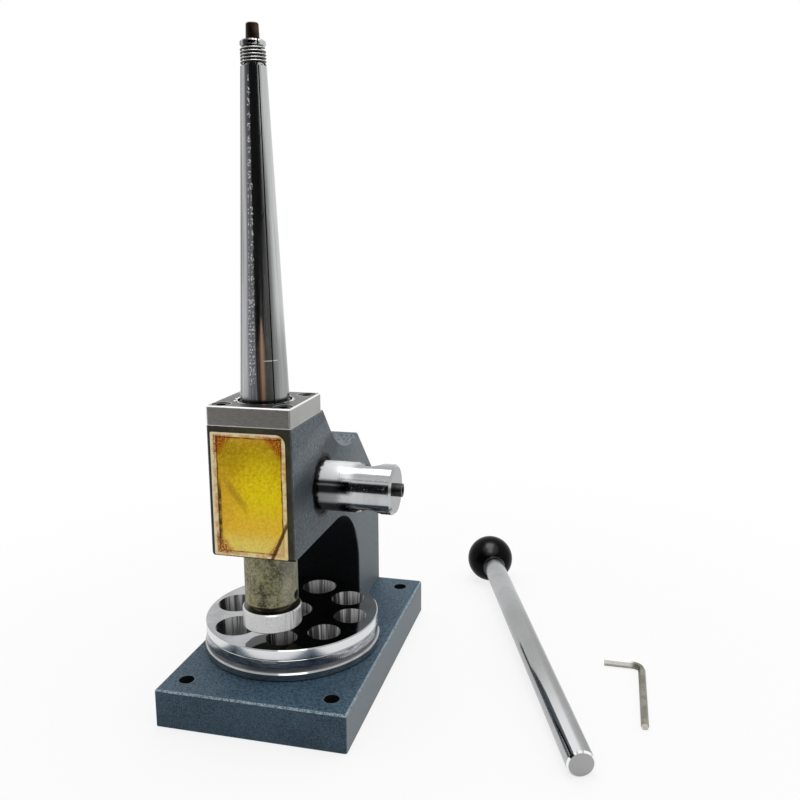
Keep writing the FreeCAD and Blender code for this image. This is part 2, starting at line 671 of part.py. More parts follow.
def make_ram():
    """Round ram with a rack down its back and a bored lower end."""
    body = new_body("press_ram", y=PRESS_Y)
    radius = "ram_dia / 2"
    turned(body, (
        ("0", "ram_bottom"), (radius + " - ram_edge", "ram_bottom"), (radius, "ram_bottom + ram_edge"),
        (radius, "ram_top - ram_edge"), (radius + " - ram_edge", "ram_top"), ("0", "ram_top"),
    ))
    flat = new_sketch(body, "YZ_Plane", radius)
    rectangle(flat, "rack_offset + gear_module", "rack_low", "ram_dia", "rack_high")
    cut(body, flat, "ram_dia")

    pitch = "(pi * gear_module)"
    root = "(rack_offset - gear_module - tooth_tip_gap)"
    tip = "(rack_offset + gear_module + %s)" % pitch
    lean = "tan(pressure_angle)"
    middle = "(pi * gear_module / 4 + backlash / 2)"
    root_half = "(%s - (rack_offset - %s) * %s)" % (middle, root, lean)
    tip_half = "(%s + (%s - rack_offset) * %s)" % (middle, tip, lean)
    gap = new_sketch(body, "YZ_Plane", radius)
    outline(gap, (
        (root, "shaft_height - " + root_half), (tip, "shaft_height - " + tip_half),
        (tip, "shaft_height + " + tip_half), (root, "shaft_height + " + root_half),
    ))
    first = cut(body, gap, "ram_dia")
    upwards = [item for item in body.Origin.OriginFeatures if item.Role == "Z_Axis"][0]
    for name, turned_down in (("rack_up", False), ("rack_down", True)):
        row = body.newObject("PartDesign::LinearPattern", name)
        row.Originals = [first]
        row.Direction = (upwards, [""])
        row.Reversed = turned_down
        row.Mode = "Spacing"
        reach = num("shaft_height - rack_low") if turned_down else num("rack_high - shaft_height")
        row.Occurrences = int(reach / num(pitch)) + 1
        row.setExpression("Offset", ref(pitch))
        body.Tip = row
        doc.recompute()

    spigot = new_sketch(body, "XY_Plane", "ram_bottom + spigot_length + tap_extra")
    ring(spigot, "0", "0", "spigot_dia / 2 + thread_play")
    cut(body, spigot, "spigot_length + tap_extra")
    tail = new_sketch(body, "XY_Plane", "ram_top")
    ring(tail, "0", "0", "core_tail_dia / 2 + thread_play")
    cut(body, tail, "core_tail_length + tap_extra")
    screw = new_sketch(body, "YZ_Plane", radius)
    ring(screw, "0", "ram_bottom + set_screw_height", "set_screw_dia / 2 + thread_play")
    cut(body, screw, radius)
    return finished(body, "press_ram")


def make_punch():
    """Flat round punch with a neck and a spigot."""
    body = new_body("press_punch", y=PRESS_Y)
    radius = "punch_dia / 2"
    turned(body, (
        ("0", "punch_bottom"), (radius + " - punch_edge", "punch_bottom"),
        (radius, "punch_bottom + punch_edge"), (radius, PUNCH_TOP + " - punch_edge"),
        (radius + " - punch_edge", PUNCH_TOP), ("punch_neck_dia / 2", PUNCH_TOP),
        ("punch_neck_dia / 2", "ram_bottom"), ("spigot_dia / 2", "ram_bottom"),
        ("spigot_dia / 2", "ram_bottom + spigot_length"), ("0", "ram_bottom + spigot_length"),
    ))
    return finished(body, "press_punch")


def make_set_screw():
    """Grub screw in the side of the ram, against the punch's spigot."""
    length = "((ram_dia - spigot_dia) / 2 - set_screw_sink)"
    shank = primitive("Cylinder", "set_screw_shank", Radius="set_screw_dia / 2", Height=length)
    socket = hexagon("set_screw_hexagon", "set_screw_socket", "socket_depth",
                     "%s - socket_depth" % length)
    screw = combined("Cut", "punch_set_screw", shank, [socket])
    place(screw, "spigot_dia / 2", PRESS_Y, "ram_bottom + set_screw_height", V(0, 1, 0), "90")
    return finished(screw, "punch_set_screw")


# ------------------------------------------------------------------ shaft with pinion

FLANK_STEPS = 5


def involute_gap(pitch_radius, tip_radius, root_radius, angle):
    """The space between two teeth, centred on +X, as a closed face on the XY plane."""
    base_radius = pitch_radius * math.cos(angle)

    def flank_angle(radius):
        """Angle from the middle of the space to the flank at a radius."""
        half_space = math.pi / 2 / num("pinion_teeth") + num("backlash") / 2 / pitch_radius
        turn = math.acos(min(base_radius / radius, 1))
        return half_space - (math.tan(angle) - angle) + (math.tan(turn) - turn)

    outer = tip_radius + num("tooth_tip_gap")
    start = max(base_radius, root_radius)
    radii = [start + (outer - start) * step / FLANK_STEPS for step in range(FLANK_STEPS + 1)]
    upper = [V(r * math.cos(flank_angle(r)), r * math.sin(flank_angle(r)), 0) for r in radii]
    lower = [V(p.x, -p.y, 0) for p in upper]
    flanks = []
    for points in (upper, lower):
        curve = Part.BSplineCurve()
        curve.interpolate(points)
        flanks.append(curve.toShape())
    foot_angle = flank_angle(start)
    foot = [V(root_radius * math.cos(a), root_radius * math.sin(a), 0)
            for a in (foot_angle, 0, -foot_angle)]
    crest = Part.Arc(upper[-1], V(outer, 0, 0), lower[-1])
    edges = flanks + [crest.toShape(), Part.Arc(*foot).toShape()]
    if start > root_radius:
        edges += [Part.makeLine(upper[0], foot[0]), Part.makeLine(lower[0], foot[2])]
    return Part.Face(Part.Wire(Part.__sortEdges__(edges)))


def make_shaft():
    """Cross shaft with the pinion cut in it and a cross hole for the handle."""
    radius = num("shaft_dia / 2")
    left = -num("frame_width / 2 + keeper_gap")
    shoulder = -num("chamber_half - shaft_float")
    reach = num("shaft_reach")
    edge = num("shaft_edge")
    journal = num("journal_dia / 2")
    profile = [V(left, 0, 0), V(left, journal, 0), V(shoulder, journal, 0), V(shoulder, radius, 0),
               V(reach - edge, radius, 0), V(reach, radius - edge, 0), V(reach, 0, 0), V(left, 0, 0)]
    shape = Part.Face(Part.makePolygon(profile)).revolve(V(0, 0, 0), V(1, 0, 0), 360)

    pitch_radius = num(PITCH_RADIUS)
    root_radius = pitch_radius - num("gear_module + tooth_tip_gap")
    face = involute_gap(pitch_radius, radius, root_radius, math.radians(num("pressure_angle")))
    gap = face.extrude(V(0, 0, num("teeth_reach") - shoulder))
    gap.rotate(V(0, 0, 0), V(0, 1, 0), 90)
    gap.rotate(V(0, 0, 0), V(1, 0, 0), -90)
    gap.translate(V(shoulder, 0, 0))
    step = 360 / num("pinion_teeth")
    gaps = []
    for tooth in range(int(num("pinion_teeth"))):
        space = gap.copy()
        space.rotate(V(0, 0, 0), V(1, 0, 0), (tooth + 0.5) * step)
        gaps.append(space)
    shape = shape.cut(gaps)

    through = num("2 * shaft_dia")
    hole = Part.makeCylinder(num("handle_hole_dia / 2"), through, V(0, 0, -through / 2))
    hole.rotate(V(0, 0, 0), V(1, 0, 0), -num("handle_hole_tilt"))
    hole.translate(V(num("shaft_reach - handle_hole_setback"), 0, 0))
    lock = Part.makeCylinder(num("lock_screw_dia / 2 + thread_play"), num("handle_hole_setback"),
                             V(num("shaft_reach - handle_hole_setback"), 0, 0), V(1, 0, 0))
    keeper = Part.makeCylinder(num("end_screw_dia / 2 + thread_play"),
                               num("end_screw_grip + tap_extra"), V(left, 0, 0), V(1, 0, 0))
    shape = shape.cut([hole, lock, keeper]).removeSplitter()

    shaft = doc.addObject("Part::Feature", "pinion_shaft")
    shaft.Shape = shape
    return finished(place(shaft, y=SHAFT_Y, z="shaft_height"), "pinion_shaft")


def make_bush(label, outside, inside, left):
    """Bronze bush pressed in one side of the frame."""
    length = "(frame_width / 2 - chamber_half - bush_sink)"
    outer = primitive("Cylinder", label + "_outside", Radius=outside + " / 2", Height=length)
    inner = primitive("Cylinder", label + "_inside", Radius="%s / 2 + shaft_play" % inside,
                      Height=length)
    bush = combined("Cut", label, outer, [inner])
    place(bush, left, SHAFT_Y, "shaft_height", V(0, 1, 0), "90")
    return finished(bush, label)


def make_keeper():
    """Washer and screw that keep the shaft from sliding out."""
    face = "(frame_width / 2 + keeper_gap)"
    disc = primitive("Cylinder", "washer_disc", Radius="end_washer_dia / 2", Height="end_washer_thick")
    hole = primitive("Cylinder", "washer_hole", Radius="(end_screw_dia + bolt_hole_play) / 2",
                     Height="end_washer_thick")
    washer = combined("Cut", "shaft_end_washer", disc, [hole])
    place(washer, "-" + face, SHAFT_Y, "shaft_height", V(0, 1, 0), "-90")
    screw = cap_screw("shaft_end_screw", "end_screw_dia", "end_screw_head_dia",
                      "end_screw_head_height", "end_washer_thick + end_screw_grip",
                      "end_screw_socket")
    place(screw, "-%s - end_washer_thick" % face, SHAFT_Y, "shaft_height", V(0, 1, 0), "-90")
    finished(washer, "shaft_end_washer")
    finished(screw, "shaft_end_screw")


def make_lock_screw():
    """Grub screw in the end of the shaft, which clamps the handle."""
    shank = primitive("Cylinder", "lock_screw_shank", Radius="lock_screw_dia / 2",
                      Height="lock_screw_length")
    socket = hexagon("lock_screw_hexagon", "lock_screw_socket", "socket_depth",
                     "lock_screw_length - socket_depth")
    screw = combined("Cut", "handle_lock_screw", shank, [socket])
    place(screw, "shaft_reach + lock_screw_proud - lock_screw_length", SHAFT_Y, "shaft_height",
          V(0, 1, 0), "90")
    return finished(screw, "handle_lock_screw")


# ------------------------------------------------------------------ expanding mandrel

def core_radius(height):
    """Radius of the tapered core at a height above the bench."""
    return "(core_top_dia / 2 + (core_top - (%s)) * core_slope)" % height


def make_mandrel_part(label, turn):
    """One quarter of the turned and slit mandrel, foot and head included."""
    body = new_body(label, y=PRESS_Y, axis=V(0, 0, 1), angle=turn)
    inside_top = "%s + core_play" % core_radius("cap_top")
    inside_bottom = "%s + core_play" % core_radius(FOOT_BOTTOM)
    turned(body, (
        (inside_bottom, FOOT_BOTTOM), ("foot_flange_dia / 2", FOOT_BOTTOM),
        ("foot_flange_dia / 2", FLANGE_TOP), ("foot_dia / 2", FLANGE_TOP),
        ("foot_dia / 2", "foot_top"), ("foot_groove_dia / 2", "foot_top"),
        ("foot_groove_dia / 2", "mandrel_body_bottom"),
        ("mandrel_bottom_dia / 2", "mandrel_body_bottom"),
        ("mandrel_top_dia / 2", "mandrel_body_top"),
        ("spring_neck_dia / 2", "mandrel_body_top"), ("spring_neck_dia / 2", "spring_neck_top"),
        ("cap_dia / 2 - cap_edge", "spring_neck_top"), ("cap_dia / 2", "spring_neck_top + cap_edge"),
        ("cap_dia / 2", "cap_top - cap_edge"), ("cap_dia / 2 - cap_edge", "cap_top"),
        (inside_top, "cap_top"),
    ))
    away = new_sketch(body, "XY_Plane", "core_top")
    slit = "mandrel_slit / sqrt(2)"
    outline(away, (
        ("0", "-" + slit), ("foot_flange_dia", "-%s - foot_flange_dia" % slit),
        ("foot_flange_dia", "foot_flange_dia"), ("-foot_flange_dia", "foot_flange_dia"),
        ("-foot_flange_dia", "-%s - foot_flange_dia" % slit),
    ))
    cut(body, away, "core_top")
    return finished(body, label)


def make_core():
    """Tapered core: it wedges the mandrel open as the ram rises."""
    body = new_body("expander_core", y=PRESS_Y)
    turned(body, (
        ("0", "ram_top - core_tail_length"), ("core_tail_dia / 2", "ram_top - core_tail_length"),
        ("core_tail_dia / 2", "ram_top"), (core_radius("ram_top"), "ram_top"),
        ("core_top_dia / 2 + core_edge * core_slope", "core_top - core_edge"),
        ("core_top_dia / 2 - core_edge", "core_top"), ("0", "core_top"),
    ))
    return finished(body, "expander_core")


def make_mandrel_spring():
    """Close coil spring wound round the necks of the four parts."""
    wire = num("spring_wire / 2")
    bottom = num("mandrel_body_top + spring_end_gap") + wire
    top = num("spring_neck_top - spring_end_gap") - wire
    coil = num("spring_inner_dia / 2") + wire
    turns = num("spring_turns")
    helix = Part.makeHelix((top - bottom) / turns, top - bottom, coil)
    helix.translate(V(0, 0, bottom))
    section = Part.Wire(Part.makeCircle(wire, V(coil, 0, bottom), V(0, 1, 0)))
    spring = doc.addObject("Part::Feature", "mandrel_spring")
    spring.Shape = Part.Wire(helix).makePipeShell([section], True, True)
    return finished(place(spring, y=PRESS_Y), "mandrel_spring")


# ------------------------------------------------------------------ turntable

def make_table():
    """Fixed round table that the die plate turns on."""
    body = new_body("die_table", PIVOT_X, PIVOT_Y)
    hole = "(pivot_bolt_dia + bolt_hole_play) / 2"
    rim_top = "(base_thick + table_rim_height)"
    turned(body, (
        (hole, "base_thick"), ("table_dia / 2 - table_edge", "base_thick"),
        ("table_dia / 2", "base_thick + table_edge"), ("table_dia / 2", rim_top + " - table_edge"),
        ("table_dia / 2 - table_edge", rim_top), ("table_boss_dia / 2", rim_top),
        ("table_boss_dia / 2", TABLE_TOP), (hole, TABLE_TOP),
    ))
    sinks = new_sketch(body, "XY_Plane", TABLE_TOP)
    shanks = new_sketch(body, "XY_Plane", TABLE_TOP)
    for x, y in table_screw_places():
        ring(sinks, x, y, "table_screw_head_dia / 2 + thread_play")
        ring(shanks, x, y, "(table_screw_dia + bolt_hole_play) / 2")
    cut(body, shanks, "table_rim_height + table_boss_height")
    cut(body, sinks, "(table_screw_head_dia - table_screw_dia) / 2", "45")
    return finished(body, "die_table")


def make_table_screws():
    """Three countersunk screws that hold the table on the base."""
    screws = []
    for number, (x, y) in enumerate(table_screw_places(), start=1):
        name = "table_screw_%d" % number
        body = new_body(name, "%s + %s" % (PIVOT_X, x), "%s + %s" % (PIVOT_Y, y), TABLE_TOP)
        drop = "(table_screw_head_dia - table_screw_dia) / 2"
        length = "(table_rim_height + table_boss_height + table_screw_grip)"
        turned(body, (
            ("0", "-" + length), ("table_screw_dia / 2", "-" + length),
            ("table_screw_dia / 2", "-" + drop), ("table_screw_head_dia / 2", "0"), ("0", "0"),
        ))
        socket = new_sketch(body, "XY_Plane")
        corner = "table_screw_socket / sqrt(3)"
        outline(socket, [("%s * cos(%d)" % (corner, a), "%s * sin(%d)" % (corner, a))
                         for a in range(0, 360, 60)])
        cut(body, socket, "table_socket_depth")
        screws.append(body)
    return group("die_table_screws", screws)


def make_die_plate():
    """Round plate with eight tapered dies of rising size."""
    body = new_body("die_plate", PIVOT_X, PIVOT_Y)
    radius = "die_plate_dia / 2"
    bore = "pivot_sleeve_dia / 2 + pivot_play"
    line = "(die_top - die_line_drop)"
    turned(body, (
        (bore, DIE_BOTTOM), (radius + " - die_edge", DIE_BOTTOM), (radius, DIE_BOTTOM + " + die_edge"),
        (radius, line + " - die_line_width / 2"), (radius + " - die_line_width / 2", line),
        (radius, line + " + die_line_width / 2"),
        (radius, "die_top - die_edge"), (radius + " - die_edge", "die_top"),
        ("pivot_recess_dia / 2", "die_top"),
        ("pivot_recess_dia / 2", "die_top - pivot_recess_depth"),
        (bore, "die_top - pivot_recess_depth"),
    ))
    mouths = new_sketch(body, "XY_Plane", "die_top")
    for number in range(1, len(DIES) + 1):
        angle = "die_%d_angle" % number
        ring(mouths, "die_pitch_radius * cos(%s)" % angle, "die_pitch_radius * sin(%s)" % angle,
             "die_%d_mouth / 2" % number)
    cut(body, mouths, "die_top - base_thick", "-die_taper")
    return finished(body, "die_plate")


def make_pivot():
    """Sleeve, washer and bolt that the die plate turns on."""
    web_top = "(die_top - pivot_recess_depth + turn_gap)"
    tube = primitive("Cylinder", "sleeve_outside", Radius="pivot_sleeve_dia / 2",
                     Height="%s - %s" % (web_top, TABLE_TOP))
    hole = primitive("Cylinder", "sleeve_inside", Radius="(pivot_bolt_dia + bolt_hole_play) / 2",
                     Height="%s - %s" % (web_top, TABLE_TOP))
    sleeve = place(combined("Cut", "pivot_sleeve", tube, [hole]), PIVOT_X, PIVOT_Y, TABLE_TOP)
    disc = primitive("Cylinder", "pivot_disc", Radius="pivot_washer_dia / 2",
                     Height="pivot_washer_thick")
    eye = primitive("Cylinder", "pivot_eye", Radius="(pivot_bolt_dia + bolt_hole_play) / 2",
                    Height="pivot_washer_thick")
    washer = place(combined("Cut", "pivot_washer", disc, [eye]), PIVOT_X, PIVOT_Y, web_top)
    bolt = cap_screw("pivot_bolt", "pivot_bolt_dia", "pivot_head_dia", "pivot_head_height",
                     "%s + pivot_washer_thick - base_thick + pivot_grip" % web_top, "pivot_socket")
    place(bolt, PIVOT_X, PIVOT_Y, "%s + pivot_washer_thick" % web_top)
    finished(sleeve, "pivot_sleeve")
    finished(washer, "pivot_washer")
    finished(bolt, "pivot_bolt")


# ------------------------------------------------------------------ loose handle and key

def lay_handle(thing):
    """Lays a piece modelled along +Z on the bench, from the knob towards the rod's end."""
    drop = num("(knob_dia - handle_dia) / 2 / handle_length")
    tilt = FreeCAD.Rotation(V(0, 1, 0), 90 + math.degrees(math.asin(drop)))
    turn = FreeCAD.Rotation(V(0, 0, 1), num("handle_angle"))
    thing.Placement = FreeCAD.Placement(V(0, 0, 0), turn.multiply(tilt))
    return place(thing, "handle_knob_x", "handle_knob_y", "knob_dia / 2")


def make_handle():
    """Steel rod with a stud, a collar and a ball knob."""
    collar_end = "(knob_dia / 2 + ferrule_stand)"
    collar_start = "(%s - ferrule_length)" % collar_end
    rod = new_body("handle_rod")
    turned(rod, (
        ("0", "knob_dia / 2 - knob_bore_depth"), ("stud_dia / 2", "knob_dia / 2 - knob_bore_depth"),
        ("stud_dia / 2", collar_end), ("handle_dia / 2", collar_end),
        ("handle_dia / 2", "handle_length - handle_edge"),
        ("handle_dia / 2 - handle_edge", "handle_length"), ("0", "handle_length"),
    ))
    finished(lay_handle(rod), "handle_rod")

    ball = primitive("Sphere", "knob_ball", Radius="knob_dia / 2")
    bore = place(primitive("Cylinder", "knob_bore", Radius="stud_dia / 2 + thread_play",
                           Height="knob_dia"), z="knob_dia / 2 - knob_bore_depth")
    seat = place(primitive("Cylinder", "knob_seat", Radius="knob_dia / 2", Height="knob_dia"),
                 z=collar_start)
    finished(lay_handle(combined("Cut", "ball_knob", ball, [bore, seat])), "ball_knob")

    collar = primitive("Cylinder", "collar_outside", Radius="ferrule_dia / 2",
                       Height="ferrule_length")
    eye = primitive("Cylinder", "collar_inside", Radius="stud_dia / 2 + thread_play",
                    Height="ferrule_length")
    for thing in (collar, eye):
        place(thing, z=collar_start)
    finished(lay_handle(combined("Cut", "knob_collar", collar, [eye])), "knob_collar")


def make_key():
    """Bent hexagon key that fits the handle's lock screw."""
    body = new_body("hex_key", "key_x", "key_y", "key_flats / 2", V(0, 0, 1), "key_angle")
    path = new_sketch(body, "XY_Plane")
    long_end, bend_y = V(0, -num("key_long"), 0), V(0, -num("key_bend"), 0)
    bend_x, short_end = V(-num("key_bend"), 0, 0), V(-num("key_short"), 0, 0)
    long_arm = path.addGeometry(Part.LineSegment(long_end, bend_y), False)
    circle = Part.Circle(V(-num("key_bend"), -num("key_bend"), 0), V(0, 0, 1), num("key_bend"))
    corner = path.addGeometry(Part.ArcOfCircle(circle, 0, math.pi / 2), False)
    short_arm = path.addGeometry(Part.LineSegment(bend_x, short_end), False)
    path.addConstraint(Sketcher.Constraint("Coincident", long_arm, 2, corner, 1))
    path.addConstraint(Sketcher.Constraint("Coincident", corner, 2, short_arm, 1))
    bind(path, "Radius", (corner,), "key_bend")
    for edge, end, x, y in ((long_arm, 1, "0", "-key_long"), (long_arm, 2, "0", "-key_bend"),
                            (short_arm, 1, "-key_bend", "0"), (short_arm, 2, "-key_short", "0")):
        bind(path, "DistanceX", (-1, 1, edge, end), x)
        bind(path, "DistanceY", (-1, 1, edge, end), y)
    section = new_sketch(body, "XZ_Plane", "key_long")
    side = "key_flats / sqrt(3)"
    outline(section, [("%s * cos(%d)" % (side, a), "%s * sin(%d)" % (side, a))
                      for a in range(0, 360, 60)])
    pipe = body.newObject("PartDesign::AdditivePipe", "hex_key_pipe")
    pipe.Profile = section
    pipe.Spine = path
    doc.recompute()
    return finished(body, "hex_key")


# ------------------------------------------------------------------ build, check and write

make_base_plate()
make_frame()
make_column_bolts()
make_top_plate()
make_top_plate_screws()
make_front_plate()
make_ram()
make_punch()
make_set_screw()
make_shaft()
make_bush("shaft_bush_right", "bush_right_dia", "shaft_dia", "chamber_half")
make_bush("shaft_bush_left", "bush_left_dia", "journal_dia", "bush_sink - frame_width / 2")
make_keeper()
make_lock_screw()
make_core()
for mandrel_label, mandrel_turn in (("mandrel_front", "0"), ("mandrel_right", "90"),
                                    ("mandrel_back", "180"), ("mandrel_left", "270")):
    make_mandrel_part(mandrel_label, mandrel_turn)
make_mandrel_spring()
make_table()
make_table_screws()
make_die_plate()
make_pivot()
make_handle()
make_key()
doc.recompute()

for item in doc.Objects:
    if "Invalid" in item.State or "Error" in item.State:
        raise RuntimeError("%s did not compute: %s" % (item.Name, item.State))
for part in parts:
    if part.Shape.isNull() or not part.Shape.isValid() or not part.Shape.Solids:
        raise RuntimeError("%s has no valid shape" % part.Label)

os.makedirs("parts", exist_ok=True)
for part in parts:
    part.Shape.exportStep("parts/%s.step" % part.Label)
print("%d sub-parts written" % len(parts))
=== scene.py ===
"""Looks of a bench ring stretcher: finishes, edges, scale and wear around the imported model."""

import math

import bmesh
import bpy
from mathutils import Matrix, Vector


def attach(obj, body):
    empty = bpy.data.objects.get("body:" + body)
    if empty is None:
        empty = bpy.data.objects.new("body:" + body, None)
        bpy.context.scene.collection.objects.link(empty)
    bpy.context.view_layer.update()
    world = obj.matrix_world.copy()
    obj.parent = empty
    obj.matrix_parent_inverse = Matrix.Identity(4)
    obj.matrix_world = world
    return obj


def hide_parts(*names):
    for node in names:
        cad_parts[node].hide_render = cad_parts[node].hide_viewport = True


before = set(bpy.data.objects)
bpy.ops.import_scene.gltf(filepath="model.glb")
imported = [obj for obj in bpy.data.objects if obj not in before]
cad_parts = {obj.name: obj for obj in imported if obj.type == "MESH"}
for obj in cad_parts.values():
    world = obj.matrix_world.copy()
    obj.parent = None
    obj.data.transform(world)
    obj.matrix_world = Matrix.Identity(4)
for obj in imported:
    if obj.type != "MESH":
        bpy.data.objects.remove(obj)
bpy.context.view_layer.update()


# ---------------------------------------------------------------- base plate
# A slab of grey iron, planed underneath and painted blue-grey like the rest of the press.  It is
# bolted to the bench by its four corner holes; the paint is rubbed thin along the top edges.

class Signal:
    """A value, colour or vector on its way through a finish; sums on it add the nodes."""

    def __init__(self, finish, socket):
        self.finish, self.socket = finish, socket

    def maths(self, operation, other=0.0, swapped=False):
        first, second = (other, self) if swapped else (self, other)
        return self.finish.node("Math", {"operation": operation}, {0: first, 1: second})

    def __add__(self, other):
        return self.maths("ADD", other)

    def __sub__(self, other):
        return self.maths("SUBTRACT", other)

    def __mul__(self, other):
        return self.maths("MULTIPLY", other)

    def __truediv__(self, other):
        return self.maths("DIVIDE", other)

    def __radd__(self, other):
        return self.maths("ADD", other, True)

    def __rsub__(self, other):
        return self.maths("SUBTRACT", other, True)

    def __rmul__(self, other):
        return self.maths("MULTIPLY", other, True)

    def __rtruediv__(self, other):
        return self.maths("DIVIDE", other, True)

    def __neg__(self):
        return self.maths("MULTIPLY", -1)

    def __abs__(self):
        return self.maths("ABSOLUTE")

    def least(self, other):
        return self.maths("MINIMUM", other)

    def most(self, other):
        return self.maths("MAXIMUM", other)

    def steps(self, low, high):
        """0 below low and 1 above high, with a soft rise between; a higher low makes it fall."""
        return self.finish.node("MapRange", {"interpolation_type": "SMOOTHSTEP", "clamp": True},
                                {0: self, 1: low, 2: high})

    def near(self, middle, reach):
        """1 at a value and 0 beyond a reach on both sides of it."""
        return abs(self - middle).steps(reach, reach * 0.35)

    def span(self, other):
        """Length of the slant between two legs that stand square."""
        return (self * self + other * other).maths("SQRT")

    def angle(self, other):
        """The angle, in degrees, whose tangent is this over the other."""
        return self.maths("ARCTAN2", other) * (180 / math.pi)


class Finish:
    """A surface finish as a node material."""

    def __init__(self, name, **constants):
        self.material = bpy.data.materials.new(name)
        self.material.use_nodes = True
        self.tree = self.material.node_tree
        self.shader = self.tree.nodes["Principled BSDF"]
        for socket, value in constants.items():
            self.shader.inputs[socket.replace("_", " ")].default_value = value

    def node(self, kind, settings=None, inputs=None, output=0):
        """Any node: its settings are set first, then the values or links of its sockets."""
        made = self.tree.nodes.new("ShaderNode" + kind)
        for name, value in (settings or {}).items():
            setattr(made, name, value)
        for key, value in (inputs or {}).items():
            if isinstance(value, Signal):
                self.tree.links.new(value.socket, made.inputs[key])
            else:
                made.inputs[key].default_value = value
        return Signal(self, made.outputs[output])

    def place(self, centre=(0, 0, 0), turn=(0, 0, 0), scale=(1, 1, 1)):
        """Object coordinates, centred, turned and stretched."""
        here = self.node("TexCoord", output="Object")
        moved = self.node("VectorMath", {"operation": "SUBTRACT"}, {0: here, 1: centre})
        return self.node("Mapping", None, {"Vector": moved, "Rotation": turn, "Scale": scale})

    def axes(self, vector=None):
        """The three parts of a vector, or of the place on the piece."""
        split = self.node("SeparateXYZ", None, {0: vector or self.place()})
        return [Signal(self, split.socket.node.outputs[n]) for n in range(3)]

    def facing(self):
        """The three parts of the direction that the surface faces, on the piece itself."""
        return self.axes(self.node("TexCoord", output="Normal"))

    def vector(self, x, y, z):
        """A vector of three signals."""
        return self.node("CombineXYZ", None, {0: x, 1: y, 2: z})

    def noise(self, scale, detail, rough=0.5, vector=None, distortion=0.0):
        """Soft random patches, 0 to 1, that repeat about so many times in a metre."""
        return self.node("TexNoise", None, {"Vector": vector or self.place(), "Scale": scale,
                                            "Detail": detail, "Roughness": rough,
                                            "Distortion": distortion})

    def mix(self, share, first, second):
        """A colour between two colours."""
        def full(colour):
            return colour if isinstance(colour, Signal) else (*colour, 1)
        return self.node("Mix", {"data_type": "RGBA"},
                         {0: share, 6: full(first), 7: full(second)}, output=2)

    def layers(self, colour, *tones):
        """A colour with more tones laid over it in turn, each by its share."""
        for share, tone in tones:
            colour = self.mix(share, colour, tone)
        return colour

    def worn_edges(self, reach):
        """1 on edges and corners, 0 on open faces."""
        rounded = self.node("Bevel", {"samples": 6}, {"Radius": reach})
        facing = self.node("NewGeometry", output="Normal")
        dot = self.node("VectorMath", {"operation": "DOT_PRODUCT"}, {0: rounded, 1: facing},
                        output="Value")
        return 1 - dot

    def bump(self, height, distance, strength):
        """Relief of a height signal, in metres."""
        return self.node("Bump", None, {"Height": height, "Distance": distance,
                                        "Strength": strength})

    def set(self, **sockets):
        """Links signals to the shader, or sets plain values on it."""
        for socket, value in sockets.items():
            entry = self.shader.inputs[socket.replace("_", " ")]
            if isinstance(value, Signal):
                self.tree.links.new(value.socket, entry)
            else:
                entry.default_value = value
        return self.material


def enamel(name, deep, pale, dust_and_top_light, dust_and_top_light_share, speckle):
    """Machine enamel over cast iron: speckled, dusty with painted light on top, worn to metal along
    the edges.
    """
    coat = Finish(name, IOR=1.5, Specular_IOR_Level=0.32)
    flecks = coat.noise(1450, 3, 0.8)
    clouds = coat.noise(38, 4, 0.6)
    specks = coat.noise(560, 3, 0.85)
    turned_up = coat.facing()[2].steps(0.3, 0.8)
    tone = flecks.steps(0.44, 0.58) * 0.74 + clouds.steps(0.3, 0.75) * 0.26
    colour = coat.layers(
        coat.mix(tone, deep, pale),
        # Dust on top, in one tone with painted light from above.
        (turned_up * (0.35 + clouds * 0.5) * dust_and_top_light_share, dust_and_top_light),
        (specks.steps(0.53, 0.58) * (speckle * 0.7 + turned_up * 0.24), pale),
        (specks.steps(0.48, 0.43) * (speckle + turned_up * 0.60), deep))
    wear = (coat.worn_edges(0.0013) * 12 + coat.noise(260, 3) - 0.62).steps(0.20, 0.70)
    skin = coat.noise(420, 3, 0.6) * 0.22 + flecks * 0.78
    relief = coat.bump(skin, 0.00060, 0.7)
    return coat, colour, wear, clouds * 0.16 + flecks * 0.16, relief


def welded(node, name, sharp, flatten, finish):
    """A smooth copy of a solid as a new piece, with edges over a sharp angle marked."""
    edit = bmesh.new()
    edit.from_mesh(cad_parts[node].data)
    bmesh.ops.remove_doubles(edit, verts=edit.verts, dist=2e-6)
    if flatten:
        bmesh.ops.dissolve_limit(edit, angle_limit=math.radians(flatten), verts=edit.verts,
                                 edges=edit.edges)
    for face in edit.faces:
        face.smooth = True
    mesh = bpy.data.meshes.new(name)
    edit.to_mesh(mesh)
    edit.free()
    mesh.set_sharp_from_angle(angle=math.radians(sharp))
    mesh.materials.append(finish)
    piece = bpy.data.objects.new(name, mesh)
    bpy.context.scene.collection.objects.link(piece)
    return piece


def softened(node, name, width, body, finish):
    """A copy of a solid with every sharp edge eased by a small radius."""
    sharp = 31
    piece = welded(node, name, sharp, 0.6, finish)
    rounding = piece.modifiers.new("eased_edges", "BEVEL")
    rounding.width, rounding.segments = width, 2
    rounding.limit_method, rounding.angle_limit = "ANGLE", math.radians(sharp)
    rounding.harden_normals = True
    rounding.miter_outer = "MITER_ARC"
    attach(piece, body)
    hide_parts(node)


coat, colour, wear, sheen, relief = enamel(
    "base_enamel", deep=(0.004, 0.018, 0.038), pale=(0.075, 0.152, 0.218),
    dust_and_top_light=(0.085, 0.135, 0.170), dust_and_top_light_share=0.30, speckle=0.22)
x, y = coat.axes()[:2]
to_right, to_back, to_top = coat.facing()
